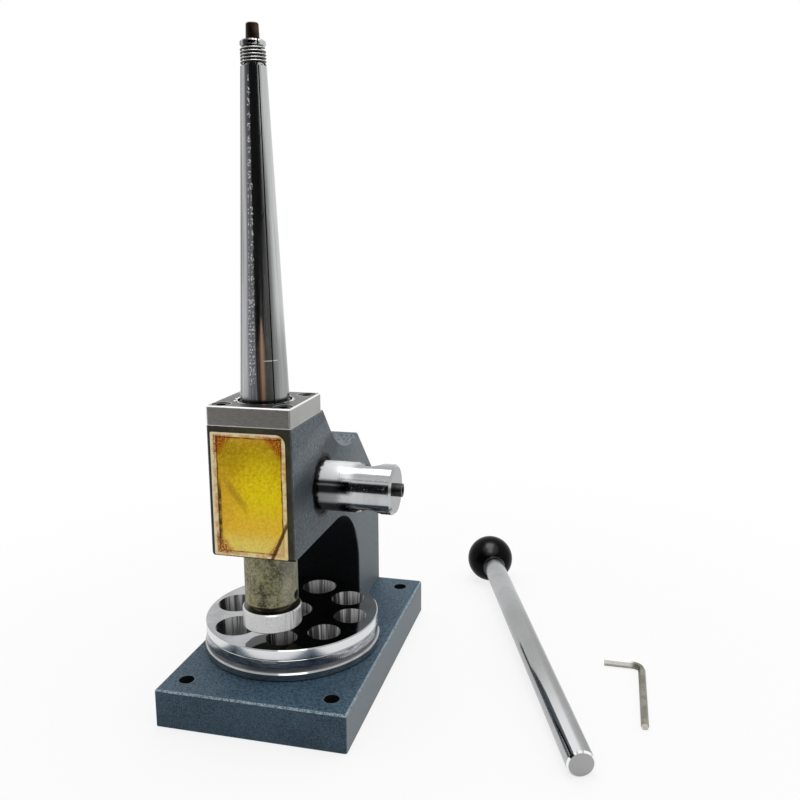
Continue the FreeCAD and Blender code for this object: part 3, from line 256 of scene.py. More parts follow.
# A dotted painted highlight runs along the top edges; the bolt holes are painted dark, as shade.
edge_highlight_line = to_top.near(0.72, 0.20) * coat.noise(1000, 3, 0.8).steps(0.38, 0.58) * 0.7
bolts_across, bolts_along, hole_radius = 0.0456, 0.0802, 0.0046
holes = (abs(x) - bolts_across).span(abs(y) - bolts_along)
holes = holes.steps(hole_radius + 0.0002, hole_radius)
colour = coat.layers(
    colour,
    # The right face is painted paler, as light.
    (to_right.steps(0.75, 0.95) * 0.35, (0.42, 0.43, 0.42)),
    (wear * 0.35, (0.42, 0.47, 0.50)),
    (edge_highlight_line, (0.46, 0.56, 0.62)),
    # The front face is painted darker, as shade.
    (to_back.steps(-0.8, -0.95) * 0.22, (0.004, 0.010, 0.014)),
    (holes * 0.95, (0.003, 0.003, 0.003)))
base_enamel = coat.set(Base_Color=colour, Roughness=0.34 + sheen, Metallic=wear * 0.4,
                       Normal=relief)
softened("base_plate", "base_casting", 0.0004, "root", base_enamel)


# ---------------------------------------------------------------- press frame
# One C-shaped iron casting: head, throat and column.  It is painted as the base is, with the top
# of the head left machined under its plate; a reflection and a highlight are painted on its sides.

coat, colour, wear, sheen, relief = enamel(
    "frame_enamel", deep=(0.014, 0.026, 0.038), pale=(0.150, 0.184, 0.208),
    dust_and_top_light=(0.21, 0.25, 0.27), dust_and_top_light_share=0.9, speckle=0.55)
y, z = coat.axes()[1:]
to_right, to_back, to_top = coat.facing()
smear = coat.noise(70, 3, 0.6)
# Each side of the head has a dark band running forward from the shaft, a painted reflection of it,
# with a band of painted highlight above it; the column is paler towards the back.
flat_side = abs(to_right).steps(0.6, 0.9)
painted_reflection_band = (z - (y + 0.05) * 0.25 + (smear - 0.5) * 0.012).near(0.1445, 0.0125)
painted_highlight_band = ((z - (y + 0.05) * 0.2 + (smear - 0.5) * 0.010).near(0.1625, 0.0085)
         * coat.noise(900, 3, 0.8).steps(0.42, 0.60))
# Glue and oil have browned the front of the head, which is also painted dark as shade; the
# throat is painted black, as shade.
shaded_head_front = to_back.steps(-0.6, -0.9) * y.steps(-0.070, -0.076)
brown_with_shade = coat.mix(smear.steps(0.40, 0.62), (0.046, 0.042, 0.006), (0.020, 0.018, 0.004))
throat_shade = (to_back.steps(-0.5, -0.8) * y.steps(0.0, 0.01)).most(to_top.steps(-0.15, -0.5))
# A ring of black grease lies round the shaft, and there is an oil hole above it.
shaft_y, shaft_z = -0.0291, 0.1342
oil_hole_y, oil_hole_z = -0.0340, 0.1600
from_shaft = (y - shaft_y).span(z - shaft_z) + (coat.noise(190, 3, 0.6) - 0.5) * 0.006
oil_hole = (y - oil_hole_y).span(z - oil_hole_z).steps(0.0008, 0.0005)
black = from_shaft.steps(0.0204, 0.0190).most(oil_hole * to_right.steps(0.6, 0.9))
colour = coat.layers(
    colour,
    (painted_reflection_band * flat_side * 0.62, (0.020, 0.026, 0.034)),
    (painted_highlight_band * flat_side * 0.55, (0.26, 0.29, 0.31)),
    (shaded_head_front * 0.92, brown_with_shade),
    (y.steps(0.005, 0.045) * flat_side * 0.42, (0.225, 0.255, 0.272)),
    (throat_shade * 0.95, (0.002, 0.0025, 0.003)),
    (wear * (1 - throat_shade) * (1 - shaded_head_front * 0.7) * 0.6, (0.27, 0.30, 0.31)),
    (black * 0.95, (0.006, 0.006, 0.006)))
frame_enamel = coat.set(
    Base_Color=colour, Roughness=0.34 + sheen + throat_shade * 0.35,
    Metallic=(wear * 0.25).most(black * 0.95).most(throat_shade * 0.55), Normal=relief)
softened("press_frame", "frame_casting", 0.0004, "root", frame_enamel)


# ---------------------------------------------------------------- screws and bolts
# Blackened socket screws: four up through the base, four in the top plate, three in the table.
# They are stock screws with turned heads and broached hexagons.

def keep(node, material):
    """Shows a solid as it is, in a finish of its own."""
    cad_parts[node].material_slots[0].material = material


blackened = Finish("blackened_screw", Metallic=1.0)
smoke = blackened.noise(700, 3)
black_oxide = blackened.set(
    Base_Color=blackened.mix(smoke, (0.020, 0.020, 0.022), (0.085, 0.083, 0.080)),
    Roughness=0.30 + smoke * 0.25,
    Normal=blackened.bump(blackened.noise(2400, 2), 0.00005, 0.5))
for screw in ("column_bolts", "top_plate_screws", "die_table_screws", "pivot_bolt",
              "shaft_end_screw", "handle_lock_screw", "punch_set_screw"):
    keep(screw, black_oxide)


# ---------------------------------------------------------------- top plate
# A ground steel square that holds the feet of the mandrel down.  Its four screws are sunk in
# counterbores, and its faces carry fine grinding lines and a dull film of oil.

ground = Finish("ground_plate_steel", Metallic=1.0)
x, y = ground.axes()[:2]
to_right, to_back, to_top = ground.facing()
grain = ground.noise(320, 4, 0.6, ground.place(scale=(1, 14, 14)))
overlay = ground.noise(60, 4, 0.6)
stains = ground.noise(45, 4, 0.7, ground.place(scale=(0.3, 1, 1))).steps(0.52, 0.66)
on_top = to_top.steps(0.7, 0.9)
patchy_tone = ground.mix(grain.steps(0.35, 0.65), (0.170, 0.163, 0.150), (0.255, 0.246, 0.225))
# The top is painted darker round the mandrel, as shade; the edges and a few glints beside it
# are painted highlights.
mandrel_y = -0.0545
from_hole = x.span(y - mandrel_y) + (overlay - 0.5) * 0.004
painted_edge_highlight = ground.worn_edges(0.0010).steps(0.010, 0.09).most(to_top.near(0.70, 0.28))
painted_glints = from_hole.near(0.0162, 0.0022) * ground.noise(420, 3, 0.6).steps(0.52, 0.58) * on_top
colour = ground.layers(
    ground.mix(overlay.steps(0.3, 0.7), (0.13, 0.13, 0.125), (0.34, 0.34, 0.33)),
    (stains * on_top * 0.5, (0.09, 0.09, 0.09)),
    # The top face is painted darker, as shade.
    (to_top.steps(0.9, 0.97) * 0.65, (0.07, 0.07, 0.066)),
    # The front face is painted a duller brown-grey, as shade.
    (to_back.steps(-0.7, -0.95) * (0.80 + overlay * 0.3), patchy_tone),
    # The right face is painted paler, as light.
    (to_right.steps(0.7, 0.95) * 0.7, (0.46, 0.46, 0.45)),
    (from_hole.steps(0.0200, 0.0160) * 0.88, (0.025, 0.025, 0.025)),
    (painted_edge_highlight.most(painted_glints), (0.97, 0.97, 0.95)))
plate_steel = ground.set(Base_Color=colour, Roughness=0.28 + overlay * 0.14 + grain * 0.08,
                         Normal=ground.bump(grain, 0.00004, 0.6))
softened("top_plate", "mandrel_plate", 0.00025, "root", plate_steel)

washer = Finish("ground_washer_steel", Metallic=1.0)
overlay = washer.noise(300, 4, 0.6)
washer_steel = washer.set(Base_Color=washer.mix(overlay, (0.22, 0.22, 0.21), (0.50, 0.50, 0.49)),
                          Roughness=0.25 + overlay * 0.2)
for turned_ring in ("pivot_washer", "shaft_end_washer"):
    keep(turned_ring, washer_steel)


# ---------------------------------------------------------------- gilt plate
# A thin brass sheet, gilt and left blank, that is glued to the front of the head.  Its upper
# right corner is rounded off; the other three are only blunted.

left, right, low, high = -0.0231, 0.0215, 0.1047, 0.1767
head_front, sheet_thick = -0.0800, 0.0005
rounded_corner, blunt_corner = 0.0055, 0.0006
edit = bmesh.new()
corners = [edit.verts.new((across, head_front, up))
           for across, up in ((left, low), (right, low), (right, high), (left, high))]
edit.faces.new(corners)
bmesh.ops.bevel(edit, geom=[corners[2]], affect="VERTICES", offset=rounded_corner,
                segments=8, profile=0.5, material=-1)
square = [corner for corner in edit.verts if len(corner.link_edges) == 2
          and abs(corner.co.x - right) + abs(corner.co.z - high) > rounded_corner * 1.1]
bmesh.ops.bevel(edit, geom=square, affect="VERTICES", offset=blunt_corner, segments=3,
                profile=0.5, material=-1)
thick = bmesh.ops.extrude_face_region(edit, geom=list(edit.faces))
bmesh.ops.translate(edit, vec=(0, sheet_thick, 0),
                    verts=[part for part in thick["geom"] if isinstance(part, bmesh.types.BMVert)])
bmesh.ops.recalc_face_normals(edit, faces=edit.faces)
sheet_mesh = bpy.data.meshes.new("gilt_plate")
edit.to_mesh(sheet_mesh)
edit.free()
gilt_plate = bpy.data.objects.new("gilt_plate", sheet_mesh)
bpy.context.scene.collection.objects.link(gilt_plate)

gilt = Finish("gilt_sheet", Metallic=0.02, IOR=1.5, Specular_IOR_Level=0.10)
x, y, z = gilt.axes()
mottle = gilt.noise(560, 4, 0.8, distortion=0.4)
cloud = gilt.noise(55, 3, 0.6)
uneven = (gilt.noise(300, 3, 0.7) - 0.5) * 0.0009
height = (z - low) * (1 / (high - low))
# The field: olive above, orange below, and a painted highlight of bright yellow in the middle.
olive = height.steps(0.45, 0.90) * 0.9 + (cloud - 0.5) * 0.6
painted_highlight = (x - 0.008).span((z - 0.139) * math.sqrt(0.45)).steps(0.024, 0.004)
left_warm = (abs(x + 0.017) + abs(z - 0.139) * 0.7).steps(0.020, 0.003)
stain = (z + x * 1.25 + uneven * 4).near(0.1300, 0.0050) * x.near(-0.0085, 0.0090)
field = gilt.layers(
    gilt.mix(olive, (1.0, 0.64, 0.003), (0.50, 0.31, 0.003)),
    (painted_highlight * 0.85, (1.0, 0.78, 0.003)),
    (height.steps(0.50, 0.22) * 0.85, (1.0, 0.60, 0.046)),
    (height.steps(0.24, 0.08) * 0.85, (1.0, 0.80, 0.190)),
    (height.steps(0.88, 0.97) * 0.5, (0.85, 0.46, 0.05)),
    (left_warm * 0.4, (0.72, 0.34, 0.06)),
    (stain * 0.5, (0.42, 0.22, 0.006)),
    (mottle.steps(0.49, 0.60) * (0.20 + height.steps(0.35, 0.80) * 0.24), (0.42, 0.20, 0.001)),
    (mottle.steps(0.48, 0.38) * 0.26, (1.0, 0.90, 0.16)))
# The rim of the sheet is paler, with a thin brown line inside it and rusty speckled corners.
inner = (x - (left + 0.0035)).least((right - 0.0023) - x)
inner = inner.least((high - 0.0024) - z).least(z - (low + 0.0027)) + uneven
rim = gilt.layers(
    gilt.mix(gilt.noise(260, 4, 0.7).steps(0.38, 0.60), (0.78, 0.46, 0.17), (1.0, 0.80, 0.42)),
    (x.steps(left + 0.0018, left + 0.0006) * 0.7, (1.0, 0.92, 0.70)))
line = inner.near(0.0002, 0.0005) * (0.50 + gilt.noise(120, 2).steps(0.38, 0.58) * 0.50)
across = (x - left).least(right - x)
upright = (high - z).least(z - low)
corner = (across * 0.9 + upright * 0.72 + uneven * 3).steps(0.0150, 0.0100)
rust = (corner * gilt.noise(1150, 3, 0.8).steps(0.40, 0.54)
        * across.steps(0.0014, 0.0022) * upright.steps(0.0010, 0.0018))
# Dark stains creep in from the left edge; a fold crosses the lower right corner, its crease
# painted dark as shade and the corner past it painted paler as light.
damp = ((x - left - 0.0043 + uneven).near(0.0, 0.0016) * height.near(0.36, 0.34)
        * gilt.noise(150, 4, 0.7).steps(0.30, 0.52))
fold = (x - 0.0195) * 0.93 + (0.121 - z) * 0.42 + uneven * 0.6
crease = fold.near(0.0, 0.0014) * z.steps(0.131, 0.124)
paler = fold.steps(0.0008, 0.0014) * z.steps(0.126, 0.118)
# A painted highlight runs along the top edge and the top of the right edge.
painted_rim_highlight = (high - z).steps(0.0012, 0.0004).most((right - x).steps(0.0009, 0.0003)
                                                  * z.steps(0.160, 0.170))
colour = gilt.layers(
    gilt.mix(inner.steps(-0.0003, 0.0003), rim, field),
    (rust, (0.38, 0.040, 0.004)),
    (line, (0.110, 0.028, 0.006)),
    (damp * 0.95, (0.055, 0.020, 0.005)),
    (paler * 0.6, (0.98, 0.76, 0.34)),
    (crease * 0.9, (0.070, 0.034, 0.006)),
    (painted_rim_highlight * 0.7, (1.0, 0.90, 0.68)))
sheet_mesh.materials.append(gilt.set(
    Base_Color=colour, Roughness=0.30 + mottle * 0.2,
    Normal=gilt.bump(mottle * 0.35 + cloud * 1.5 + crease * -2.0, 0.00014, 0.6)))
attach(gilt_plate, "root")
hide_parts("front_plate")


# ---------------------------------------------------------------- bushes
# Sintered bronze rings pressed in both sides of the head, and the sleeve that the die plate
# turns on.  All are black with old grease.

greased = Finish("greased_bronze", Metallic=1.0)
grease = greased.noise(220, 4, 0.6)
bush_bronze = greased.set(
    Base_Color=greased.mix(grease.steps(0.45, 0.75), (0.004, 0.004, 0.003), (0.022, 0.017, 0.011)),
    Roughness=0.50 + grease * 0.2)
for bush in ("shaft_bush_right", "shaft_bush_left", "pivot_sleeve"):
    keep(bush, bush_bronze)


# ---------------------------------------------------------------- ram and punch
# The ram is a turned steel bar with a rack cut down its back.  It is left unplated and wears a
# brown film of oil.  The punch is screwed to its end and ground bright.

oiled = Finish("oiled_ram_steel", Metallic=0.85)
x = oiled.axes()[0]
blotch = oiled.noise(95, 5, 0.65, oiled.place(scale=(1, 1, 0.5)))
runs = oiled.noise(210, 4, 0.6, oiled.place(scale=(1, 1, 0.12)))
speck = oiled.noise(1100, 3, 0.7)
grit = oiled.noise(620, 3, 0.8)
# The right side is painted paler, as a sheen of light.
patch_share = x.steps(0.0085, 0.0140) * (0.35 + blotch * 0.6)
colour = oiled.layers(
    oiled.mix(blotch.steps(0.38, 0.60), (0.045, 0.041, 0.020), (0.29, 0.275, 0.155)),
    (runs.steps(0.52, 0.68) * 0.6, (0.042, 0.036, 0.020)),
    (oiled.noise(130, 3).steps(0.50, 0.66) * 0.55, (0.34, 0.30, 0.105)),
    (speck.steps(0.56, 0.70) * 0.45, (0.055, 0.050, 0.034)),
    (grit.steps(0.53, 0.58) * 0.55, (0.37, 0.36, 0.25)),
    (grit.steps(0.48, 0.42) * 0.62, (0.060, 0.056, 0.036)),
    (patch_share * 0.6, (0.42, 0.41, 0.34)))
keep("press_ram", oiled.set(Base_Color=colour, Roughness=0.30 + blotch * 0.2 + speck * 0.1,
                            Normal=oiled.bump(speck * 0.5 + blotch * 0.5, 0.00012, 0.6)))

bright = Finish("bright_punch_steel", Metallic=1.0)
x, y, z = bright.axes()
to_top = bright.facing()[2]
around = x.maths("ARCTAN2", y - mandrel_y)
upright = bright.noise(1.0, 3, 0.6, bright.vector(around * 9, z * 12, 0.0))
satin = bright.noise(1400, 3, 0.65)
# The shoulder, the neck above it and the downward faces are painted dark as shade, with a brown
# tint of oil from the ram.
oil_and_shade = (to_top.steps(0.85, 0.95) * z.steps(0.0648, 0.0654)).most(z.steps(0.0656, 0.0659))
oil_and_shade = oil_and_shade.most(to_top.steps(-0.85, -0.95))
colour = bright.layers(
    bright.mix(satin.steps(0.35, 0.7), (0.56, 0.56, 0.56), (0.72, 0.72, 0.72)),
    (upright.steps(0.50, 0.62) * x.steps(0.010, 0.0165) * 0.75, (0.10, 0.10, 0.10)),
    (oil_and_shade * 0.90, (0.082, 0.072, 0.034)))
keep("press_punch", bright.set(Base_Color=colour, Roughness=0.27 + satin * 0.12,
                               Normal=bright.bump(satin, 0.00003, 0.4)))


# ---------------------------------------------------------------- cross shaft
# A stepped bar with the pinion cut in it, ground and hard-chromed.  The barrel stands out of the
# right side of the head and has a cross hole for the handle.

def chrome(name, pale=0.52, dull=0.37, rough=0.06, centre=(0, 0, 0), stretch=(1, 1, 1)):
    """Hard chrome with faint grinding lines, smears and a light haze."""
    plated = Finish(name, Metallic=1.0)
    smear = plated.noise(75, 4, 0.6, plated.place(centre, scale=stretch))
    lines = plated.noise(900, 3, 0.6, plated.place(centre, scale=stretch))
    colour = plated.mix(smear.steps(0.3, 0.72), (dull, dull * 1.01, dull * 1.03),
                        (pale, pale * 1.01, pale * 1.025))
    return plated, colour, rough + smear * 0.05 + lines * 0.03, lines


plated, colour, haze, lines = chrome("shaft_chrome", 0.60, 0.44, 0.085, (0, shaft_y, shaft_z),
                                     (1, 0.1, 0.1))
x = plated.axes()[0]
to_right, to_back, to_top = plated.facing()
dirt = plated.noise(420, 4, 0.7)
# Beside the bush the barrel is made less metallic and painted in long bands, pale above and dark
# in the middle, as a painted reflection.
patch_share = (x + (dirt - 0.5) * 0.003).steps(0.0430, 0.0345)
tilt = to_top.angle(-to_back)
painted_reflection_bands = plated.layers(
    plated.mix(tilt.steps(25, 34), (0.016, 0.018, 0.019), (0.82, 0.83, 0.84)),
    (tilt.steps(78, 100) * 0.6, (0.34, 0.35, 0.36)),
    (tilt.steps(4, -6), (0.50, 0.51, 0.52)),
    (tilt.steps(-18, -30), (0.020, 0.022, 0.024)),
    (tilt.near(19, 3.5) * 0.6, (0.30, 0.31, 0.32)))
# Black grease has crept out of the bush; the plating has pits and a few bare bright spots.
root = (x + (dirt - 0.5) * 0.0050).steps(0.0278, 0.0264) * x.steps(0.020, 0.024)
pits = plated.noise(900, 3, 0.7).steps(0.66, 0.72) * plated.noise(120, 3).steps(0.46, 0.60)
spots = plated.noise(1500, 2, 0.6).steps(0.66, 0.70) * plated.noise(150, 2).steps(0.45, 0.60)
end_face = plated.mix(lines, (0.23, 0.235, 0.24), (0.33, 0.335, 0.34))
colour = plated.layers(
    colour,
    # The upper front of the barrel is painted darker, as a painted reflection.
    (tilt.near(58, 36) * 0.70, (0.34, 0.35, 0.36)),
    (x.steps(0.0500, 0.0440), painted_reflection_bands),
    (root * 0.95, (0.014, 0.014, 0.014)),
    (pits * 0.8, (0.05, 0.05, 0.05)),
    # The underside is painted dark, as shade.
    (to_top.steps(-0.66, -0.86) * 0.8, (0.04, 0.04, 0.045)),
    (spots * 0.8, (0.80, 0.80, 0.80)),
    (to_right.steps(0.85, 0.95), end_face))
dull_spots = (root * 0.2).most(patch_share * 0.30).most(pits * 0.2).most(spots * 0.3)
keep("pinion_shaft", plated.set(
    Base_Color=colour, Roughness=haze + dull_spots,
    Metallic=(1.0 - spots * 0.7) * (1.0 - patch_share * (1 - root) * 0.90)))


# ---------------------------------------------------------------- mandrel
# A taper of ring sizes, slit in four and ground as one cone, with necks and heads at its top.
# It is chromed, dulled by fingers in front and browned by oil near its foot.

plated, colour, haze, _ = chrome("mandrel_chrome", 0.54, 0.38, 0.11, (0, mandrel_y, 0),
                                 (4, 4, 0.12))
x, y, z = plated.axes()
around = x.angle(-(y - mandrel_y))
fine = plated.noise(1.0, 4, 0.65, plated.vector(around * 0.42, z * 9, 0.0))
brushed = plated.noise(1.0, 4, 0.7, plated.vector(around * 0.30, z * 12, 3.0))
threads = plated.noise(1.0, 3, 0.7, plated.vector(around * 0.85, z * 14, 7.0))
left_side = around.steps(-22, -32)
# Fingers have dulled the band where the sizes stand; its right edge is sharp.
band = (around + (fine - 0.5) * 8).steps(-24, -13) * (around + (fine - 0.5) * 4).steps(5.5, 0)
dull = plated.layers(
    plated.mix(fine.steps(0.35, 0.65), (0.12, 0.12, 0.145), (0.27, 0.27, 0.31)),
    (z.steps(0.325, 0.352) * 0.75, (0.05, 0.05, 0.06)))
# Old oil has browned a streak at the foot, which runs out to a point above.
point = 0.2445
spread = ((point - z) * 520).least(11.0).most(0.3)
streak = abs(around - 18.5 + (fine - 0.5) * 6) / spread
streak = streak.steps(1.05, 0.60) * z.steps(point, 0.2360)
shade = (abs(around - 20.5) / spread).steps(0.85, 0.10) * (0.55 + threads.steps(0.35, 0.60) * 0.45)
brown_with_shade = plated.mix(shade, (0.130, 0.034, 0.018), (1.0, 0.66, 0.46))
# Rings have scored the right side low down, and one has left a pale line round it.
scores = around.near(34, 21) * threads.steps(0.47, 0.58) * z.steps(0.300, 0.225)
ring = z.near(0.2155, 0.0004) * around.steps(20, 24) * around.steps(62, 56)
# The foot is painted dark, as shade where it enters the plate, and the heads are dark; the mouth
# for the core is a painted highlight.
foot = z.steps(0.1942, 0.1926)
heads = z.steps(0.3838, 0.3842) * around.steps(-30, -22) * around.steps(26, 16)
mouth = x.span(y - mandrel_y).steps(0.0047, 0.0041) * z.steps(0.3866, 0.3870)
colour = plated.layers(
    colour,
    (brushed.steps(0.46, 0.62) * (0.30 + left_side * 0.25), (0.17, 0.175, 0.17)),
    (band * 0.90, dull),
    (streak * 0.94, brown_with_shade),
    (scores * 0.85, (0.085, 0.075, 0.045)),
    # The right side is painted darker low down, as shade, and paler above, as a painted highlight.
    (around.steps(42, 58) * z.steps(0.240, 0.215) * 0.35, (0.19, 0.195, 0.19)),
    (threads.steps(0.52, 0.64) * (1 - streak) * 0.28, (0.16, 0.165, 0.165)),
    (around.steps(48, 64) * z.steps(0.225, 0.250) * 0.35, (0.76, 0.77, 0.77)),
    (ring, (0.85, 0.80, 0.83)),
    (foot * (0.4 + fine), (0.02, 0.02, 0.02)),
    (heads * 0.85, (0.030, 0.030, 0.036)),
    (mouth, (0.95, 0.95, 0.95)))
haze = haze + (streak * 0.34).most(ring * 0.4).most(foot * 0.3).most(band * 0.30) + left_side * 0.10
taper_chrome = plated.set(Base_Color=colour, Roughness=haze + scores * 0.25,
                          Metallic=1.0 - scores * 0.55, Normal=plated.bump(brushed, 0.00004, 0.4))

foot_radius, tip_radius, foot_height, taper_length = 0.0141, 0.00715, 0.1927, 0.1813


def ground_taper(node, material):
    """A copy of a mandrel part that shades as the true cone it was ground to."""
    piece = welded(node, node + "_ground", 25, None, material)
    mesh = piece.data
    slope = math.atan2(foot_radius - tip_radius, taper_length)
    facing = [(0, 0, 0)] * len(mesh.loops)
    for face in mesh.polygons:
        if not math.sin(slope) * 0.5 < face.normal.z < math.sin(slope) * 1.5:
            continue
        for corner in face.loop_indices:
            here = mesh.vertices[mesh.loops[corner].vertex_index].co
            out = Vector((here.x, here.y - mandrel_y, 0)).normalized()
            facing[corner] = out * math.cos(slope) + Vector((0, 0, math.sin(slope)))
    mesh.normals_split_custom_set(facing)
    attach(piece, node)
    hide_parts(node)


for side in ("front", "right", "back", "left"):
    ground_taper("mandrel_" + side, taper_chrome)

# Sizes are stamped down the front of the mandrel, with a few short marks near the top.  The
# digits grow, and their line leans to the left, over the first part of the way down.
size_count, number_pitch, first_height, growing_run = 27, 0.0063, 0.3670, 0.110
stamp_relief = 0.00003


def wrap(vertices, azimuth, middle):
    """Bends flat work round the taper, with its middle at an azimuth and a height."""
    for vertex in vertices:
        up = middle + vertex.co.y
        radius = foot_radius - (up - foot_height) * (foot_radius - tip_radius) / taper_length
        radius += stamp_relief + vertex.co.z
        turn = azimuth + vertex.co.x / radius
        vertex.co = (radius * math.sin(turn), mandrel_y - radius * math.cos(turn), up)


stamped = bmesh.new()
for number in range(1, size_count + 1):
    middle = first_height - number_pitch * (number - 1)
    down = min(1.0, (first_height - middle) / growing_run)
    digits = bpy.data.curves.new("number", "FONT")
    digits.body, digits.size = str(number), 0.0044 + 0.0026 * down
    digits.align_x, digits.align_y = "CENTER", "CENTER"
    digits.extrude, digits.resolution_u, digits.offset = stamp_relief, 3, 0.00010
    shown = bpy.data.objects.new("number", digits)
    flat = bpy.data.meshes.new_from_object(shown)
    bpy.data.objects.remove(shown)
    before = len(stamped.verts)
    stamped.from_mesh(flat)
    stamped.verts.ensure_lookup_table()
    bpy.data.meshes.remove(flat)
    for vertex in stamped.verts[before:]:
        vertex.co.x *= 0.62 if number > 9 else 0.85
    wrap(stamped.verts[before:], -math.radians(1.5 + 4.2 * down), middle)
for azimuth, middle in ((-1.0, 0.3612), (-1.0, 0.3585), (-1.0, 0.3560), (-6.5, 0.3600),
                        (-6.5, 0.3568), (1.6, 0.3532)):
    dash = bmesh.ops.create_cube(stamped, size=1.0)["verts"]
    bmesh.ops.scale(stamped, verts=dash, vec=(0.00030, 0.0017, 2 * stamp_relief))
    wrap(dash, math.radians(azimuth), middle)
bmesh.ops.remove_doubles(stamped, verts=stamped.verts, dist=1e-6)
bmesh.ops.recalc_face_normals(stamped, faces=stamped.faces)
number_mesh = bpy.data.meshes.new("size_numbers")
stamped.to_mesh(number_mesh)
stamped.free()
size_numbers = bpy.data.objects.new("size_numbers", number_mesh)
bpy.context.scene.collection.objects.link(size_numbers)
struck = Finish("struck_numbers", Metallic=0.5)
chips = struck.noise(900, 3, 0.7)
number_mesh.materials.append(struck.set(
    Base_Color=struck.mix(chips.steps(0.42, 0.60), (0.14, 0.14, 0.15), (0.95, 0.94, 0.96)),
    Roughness=0.45 + chips * 0.2))
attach(size_numbers, "mandrel_front")


# ---------------------------------------------------------------- spring and core
# A close coil spring draws the necks of the mandrel together.  The core that spreads them is
# hardened, and brown and black from the heat.

spring = Finish("spring_wire", Metallic=1.0)
drawn = spring.noise(1800, 2)
lit = (spring.facing()[2] + (drawn - 0.5) * 0.4).steps(-0.25, 0.45)
keep("mandrel_spring", spring.set(
    Base_Color=spring.mix(lit, (0.05, 0.05, 0.05), (0.74, 0.74, 0.72)),
    Roughness=0.2 + drawn * 0.15))

core = Finish("dark_core_steel", Metallic=0.9)
heat = core.noise(180, 4, 0.6)
keep("expander_core", core.set(
    Base_Color=core.mix(heat.steps(0.35, 0.65), (0.016, 0.010, 0.006), (0.075, 0.050, 0.032)),
    Roughness=0.3 + heat * 0.2))


# ---------------------------------------------------------------- die table
# The fixed disc that carries the die plate.  Its upper face is a pale satin, painted light in the
# shaded gap under the turning plate, and its rim is chromed.

plated, colour, haze, lines = chrome("table_chrome", 0.48, 0.34)
shelf = plated.facing()[2].steps(0.80, 0.95)
keep("die_table", plated.set(
    Base_Color=plated.mix(shelf, colour, (0.50, 0.51, 0.535)), Metallic=1.0 - shelf * 0.65,
    Roughness=haze + shelf * 0.25, Normal=plated.bump(lines, 0.00002, 0.3)))


# ---------------------------------------------------------------- die plate
# The chromed disc of eight tapered dies.  The bores are reamed with upright tool marks.  Their
# walls are painted paler than the polished top where they face forward and back, as light, and
# darker towards the bottom, as shade.

plated, colour, haze, lines = chrome("die_plate_chrome", 0.48, 0.36, 0.035)
x, y, z = plated.axes()
to_right, to_back, to_top = plated.facing()
pivot_x, pivot_y = -0.0026, -0.0153
upright = abs(to_top).steps(0.5, 0.3)
bored = upright * (x - pivot_x).span(y - pivot_y).steps(0.0549, 0.0545)
reamed = plated.noise(1.0, 4, 0.8, plated.vector(to_back.maths("ARCTAN2", to_right) * 3.4,
                                                 x * 60, y * 60))
# Walls facing forward and back are painted pale, as light; lower down they are painted darker.
front_lit = (to_back * -0.99 - to_right * 0.10 + (reamed - 0.5) * 0.7).steps(0.20, 0.70)
front_lit = front_lit.most(to_back.steps(0.0, 0.3))
lit_walls = (front_lit * (0.16 + reamed.steps(0.43, 0.56) * 0.84)
             * (0.45 + z.steps(0.0320, 0.0420) * 0.55))
walls = plated.mix(lit_walls, (0.020, 0.020, 0.022), (1.0, 1.0, 1.0))
# A dark patch on the top under the punch is a painted reflection of the punch.
painted_reflection_x, painted_reflection_y = -0.0002, -0.0630
overlay = (x - painted_reflection_x).span(y - painted_reflection_y) + (plated.noise(240, 3, 0.6) - 0.5) * 0.0014
overlay = overlay.steps(0.0135, 0.0127) * to_top.steps(0.8, 0.95)
# A dark line parts the bright rim from a duller skirt, which has fine ticks at its right.
skirt_top = 0.0368
rimmed = upright * (1 - bored)
skirt = rimmed * z.steps(skirt_top + 0.0003, skirt_top - 0.0001)
streaks = plated.noise(1.0, 4, 0.7, plated.vector(x * 160, y * 160, z * 1500))
scuffed = plated.mix(streaks.steps(0.40, 0.62), (0.17, 0.175, 0.20), (0.50, 0.51, 0.54))
bearing, tick_pitch = (y - pivot_y).angle(x - pivot_x), 1.6
ticks = (bearing * (1 / tick_pitch)).maths("FRACT").steps(0.60, 0.70)
ticks = ticks * bearing.near(-42, 13) * z.steps(0.0346, 0.0342)
colour = plated.layers(
    colour,
    (bored, walls),
    (overlay * 0.92, (0.030, 0.034, 0.037)),
    ((rimmed - skirt) * 0.9, (0.84, 0.85, 0.87)),
    (skirt, scuffed),
    (rimmed * z.near(skirt_top, 0.0008) * 0.85, (0.03, 0.03, 0.03)),
    (ticks * rimmed * 0.85, (0.03, 0.03, 0.03)))
keep("die_plate", plated.set(
    Base_Color=colour, Metallic=1.0 - bored * 0.85,
    Roughness=haze + bored * (0.12 + reamed * 0.15) + rimmed * 0.11,
    Normal=plated.bump(lines * 0.3 + reamed * bored * 6, 0.00003, 0.5)))


# ---------------------------------------------------------------- loose handle
# A chromed rod with a blackened collar under its knob.  The half by the knob is dulled by hands;
# the far half is bright, with a painted highlight along it, and painted shade down the right side.

plated, colour, haze, _ = chrome("rod_chrome", 0.52, 0.43, 0.05, stretch=(0.6, 0.6, 0.6))
rod_start, rod_turn = (0.1018, 0.1652, 0), math.radians(71.4)
along, aside = plated.axes(plated.place(rod_start, (0, 0, rod_turn)))[:2]
to_right, to_back = plated.facing()[:2]
pores = plated.noise(1500, 3, 0.8)
held = (along + (plated.noise(60, 3) - 0.5) * 0.05).steps(0.150, 0.105)
greyed = plated.mix(pores.steps(0.42, 0.58), (0.22, 0.225, 0.22), (0.44, 0.445, 0.44))
# A painted highlight runs along the far half; the right side is painted darker, as shade.
pale = aside.near(-0.0026, 0.0038) * along.steps(0.16, 0.26)
right_side_shade = aside.steps(-0.0005, 0.0048) * along.steps(0.06, 0.16)
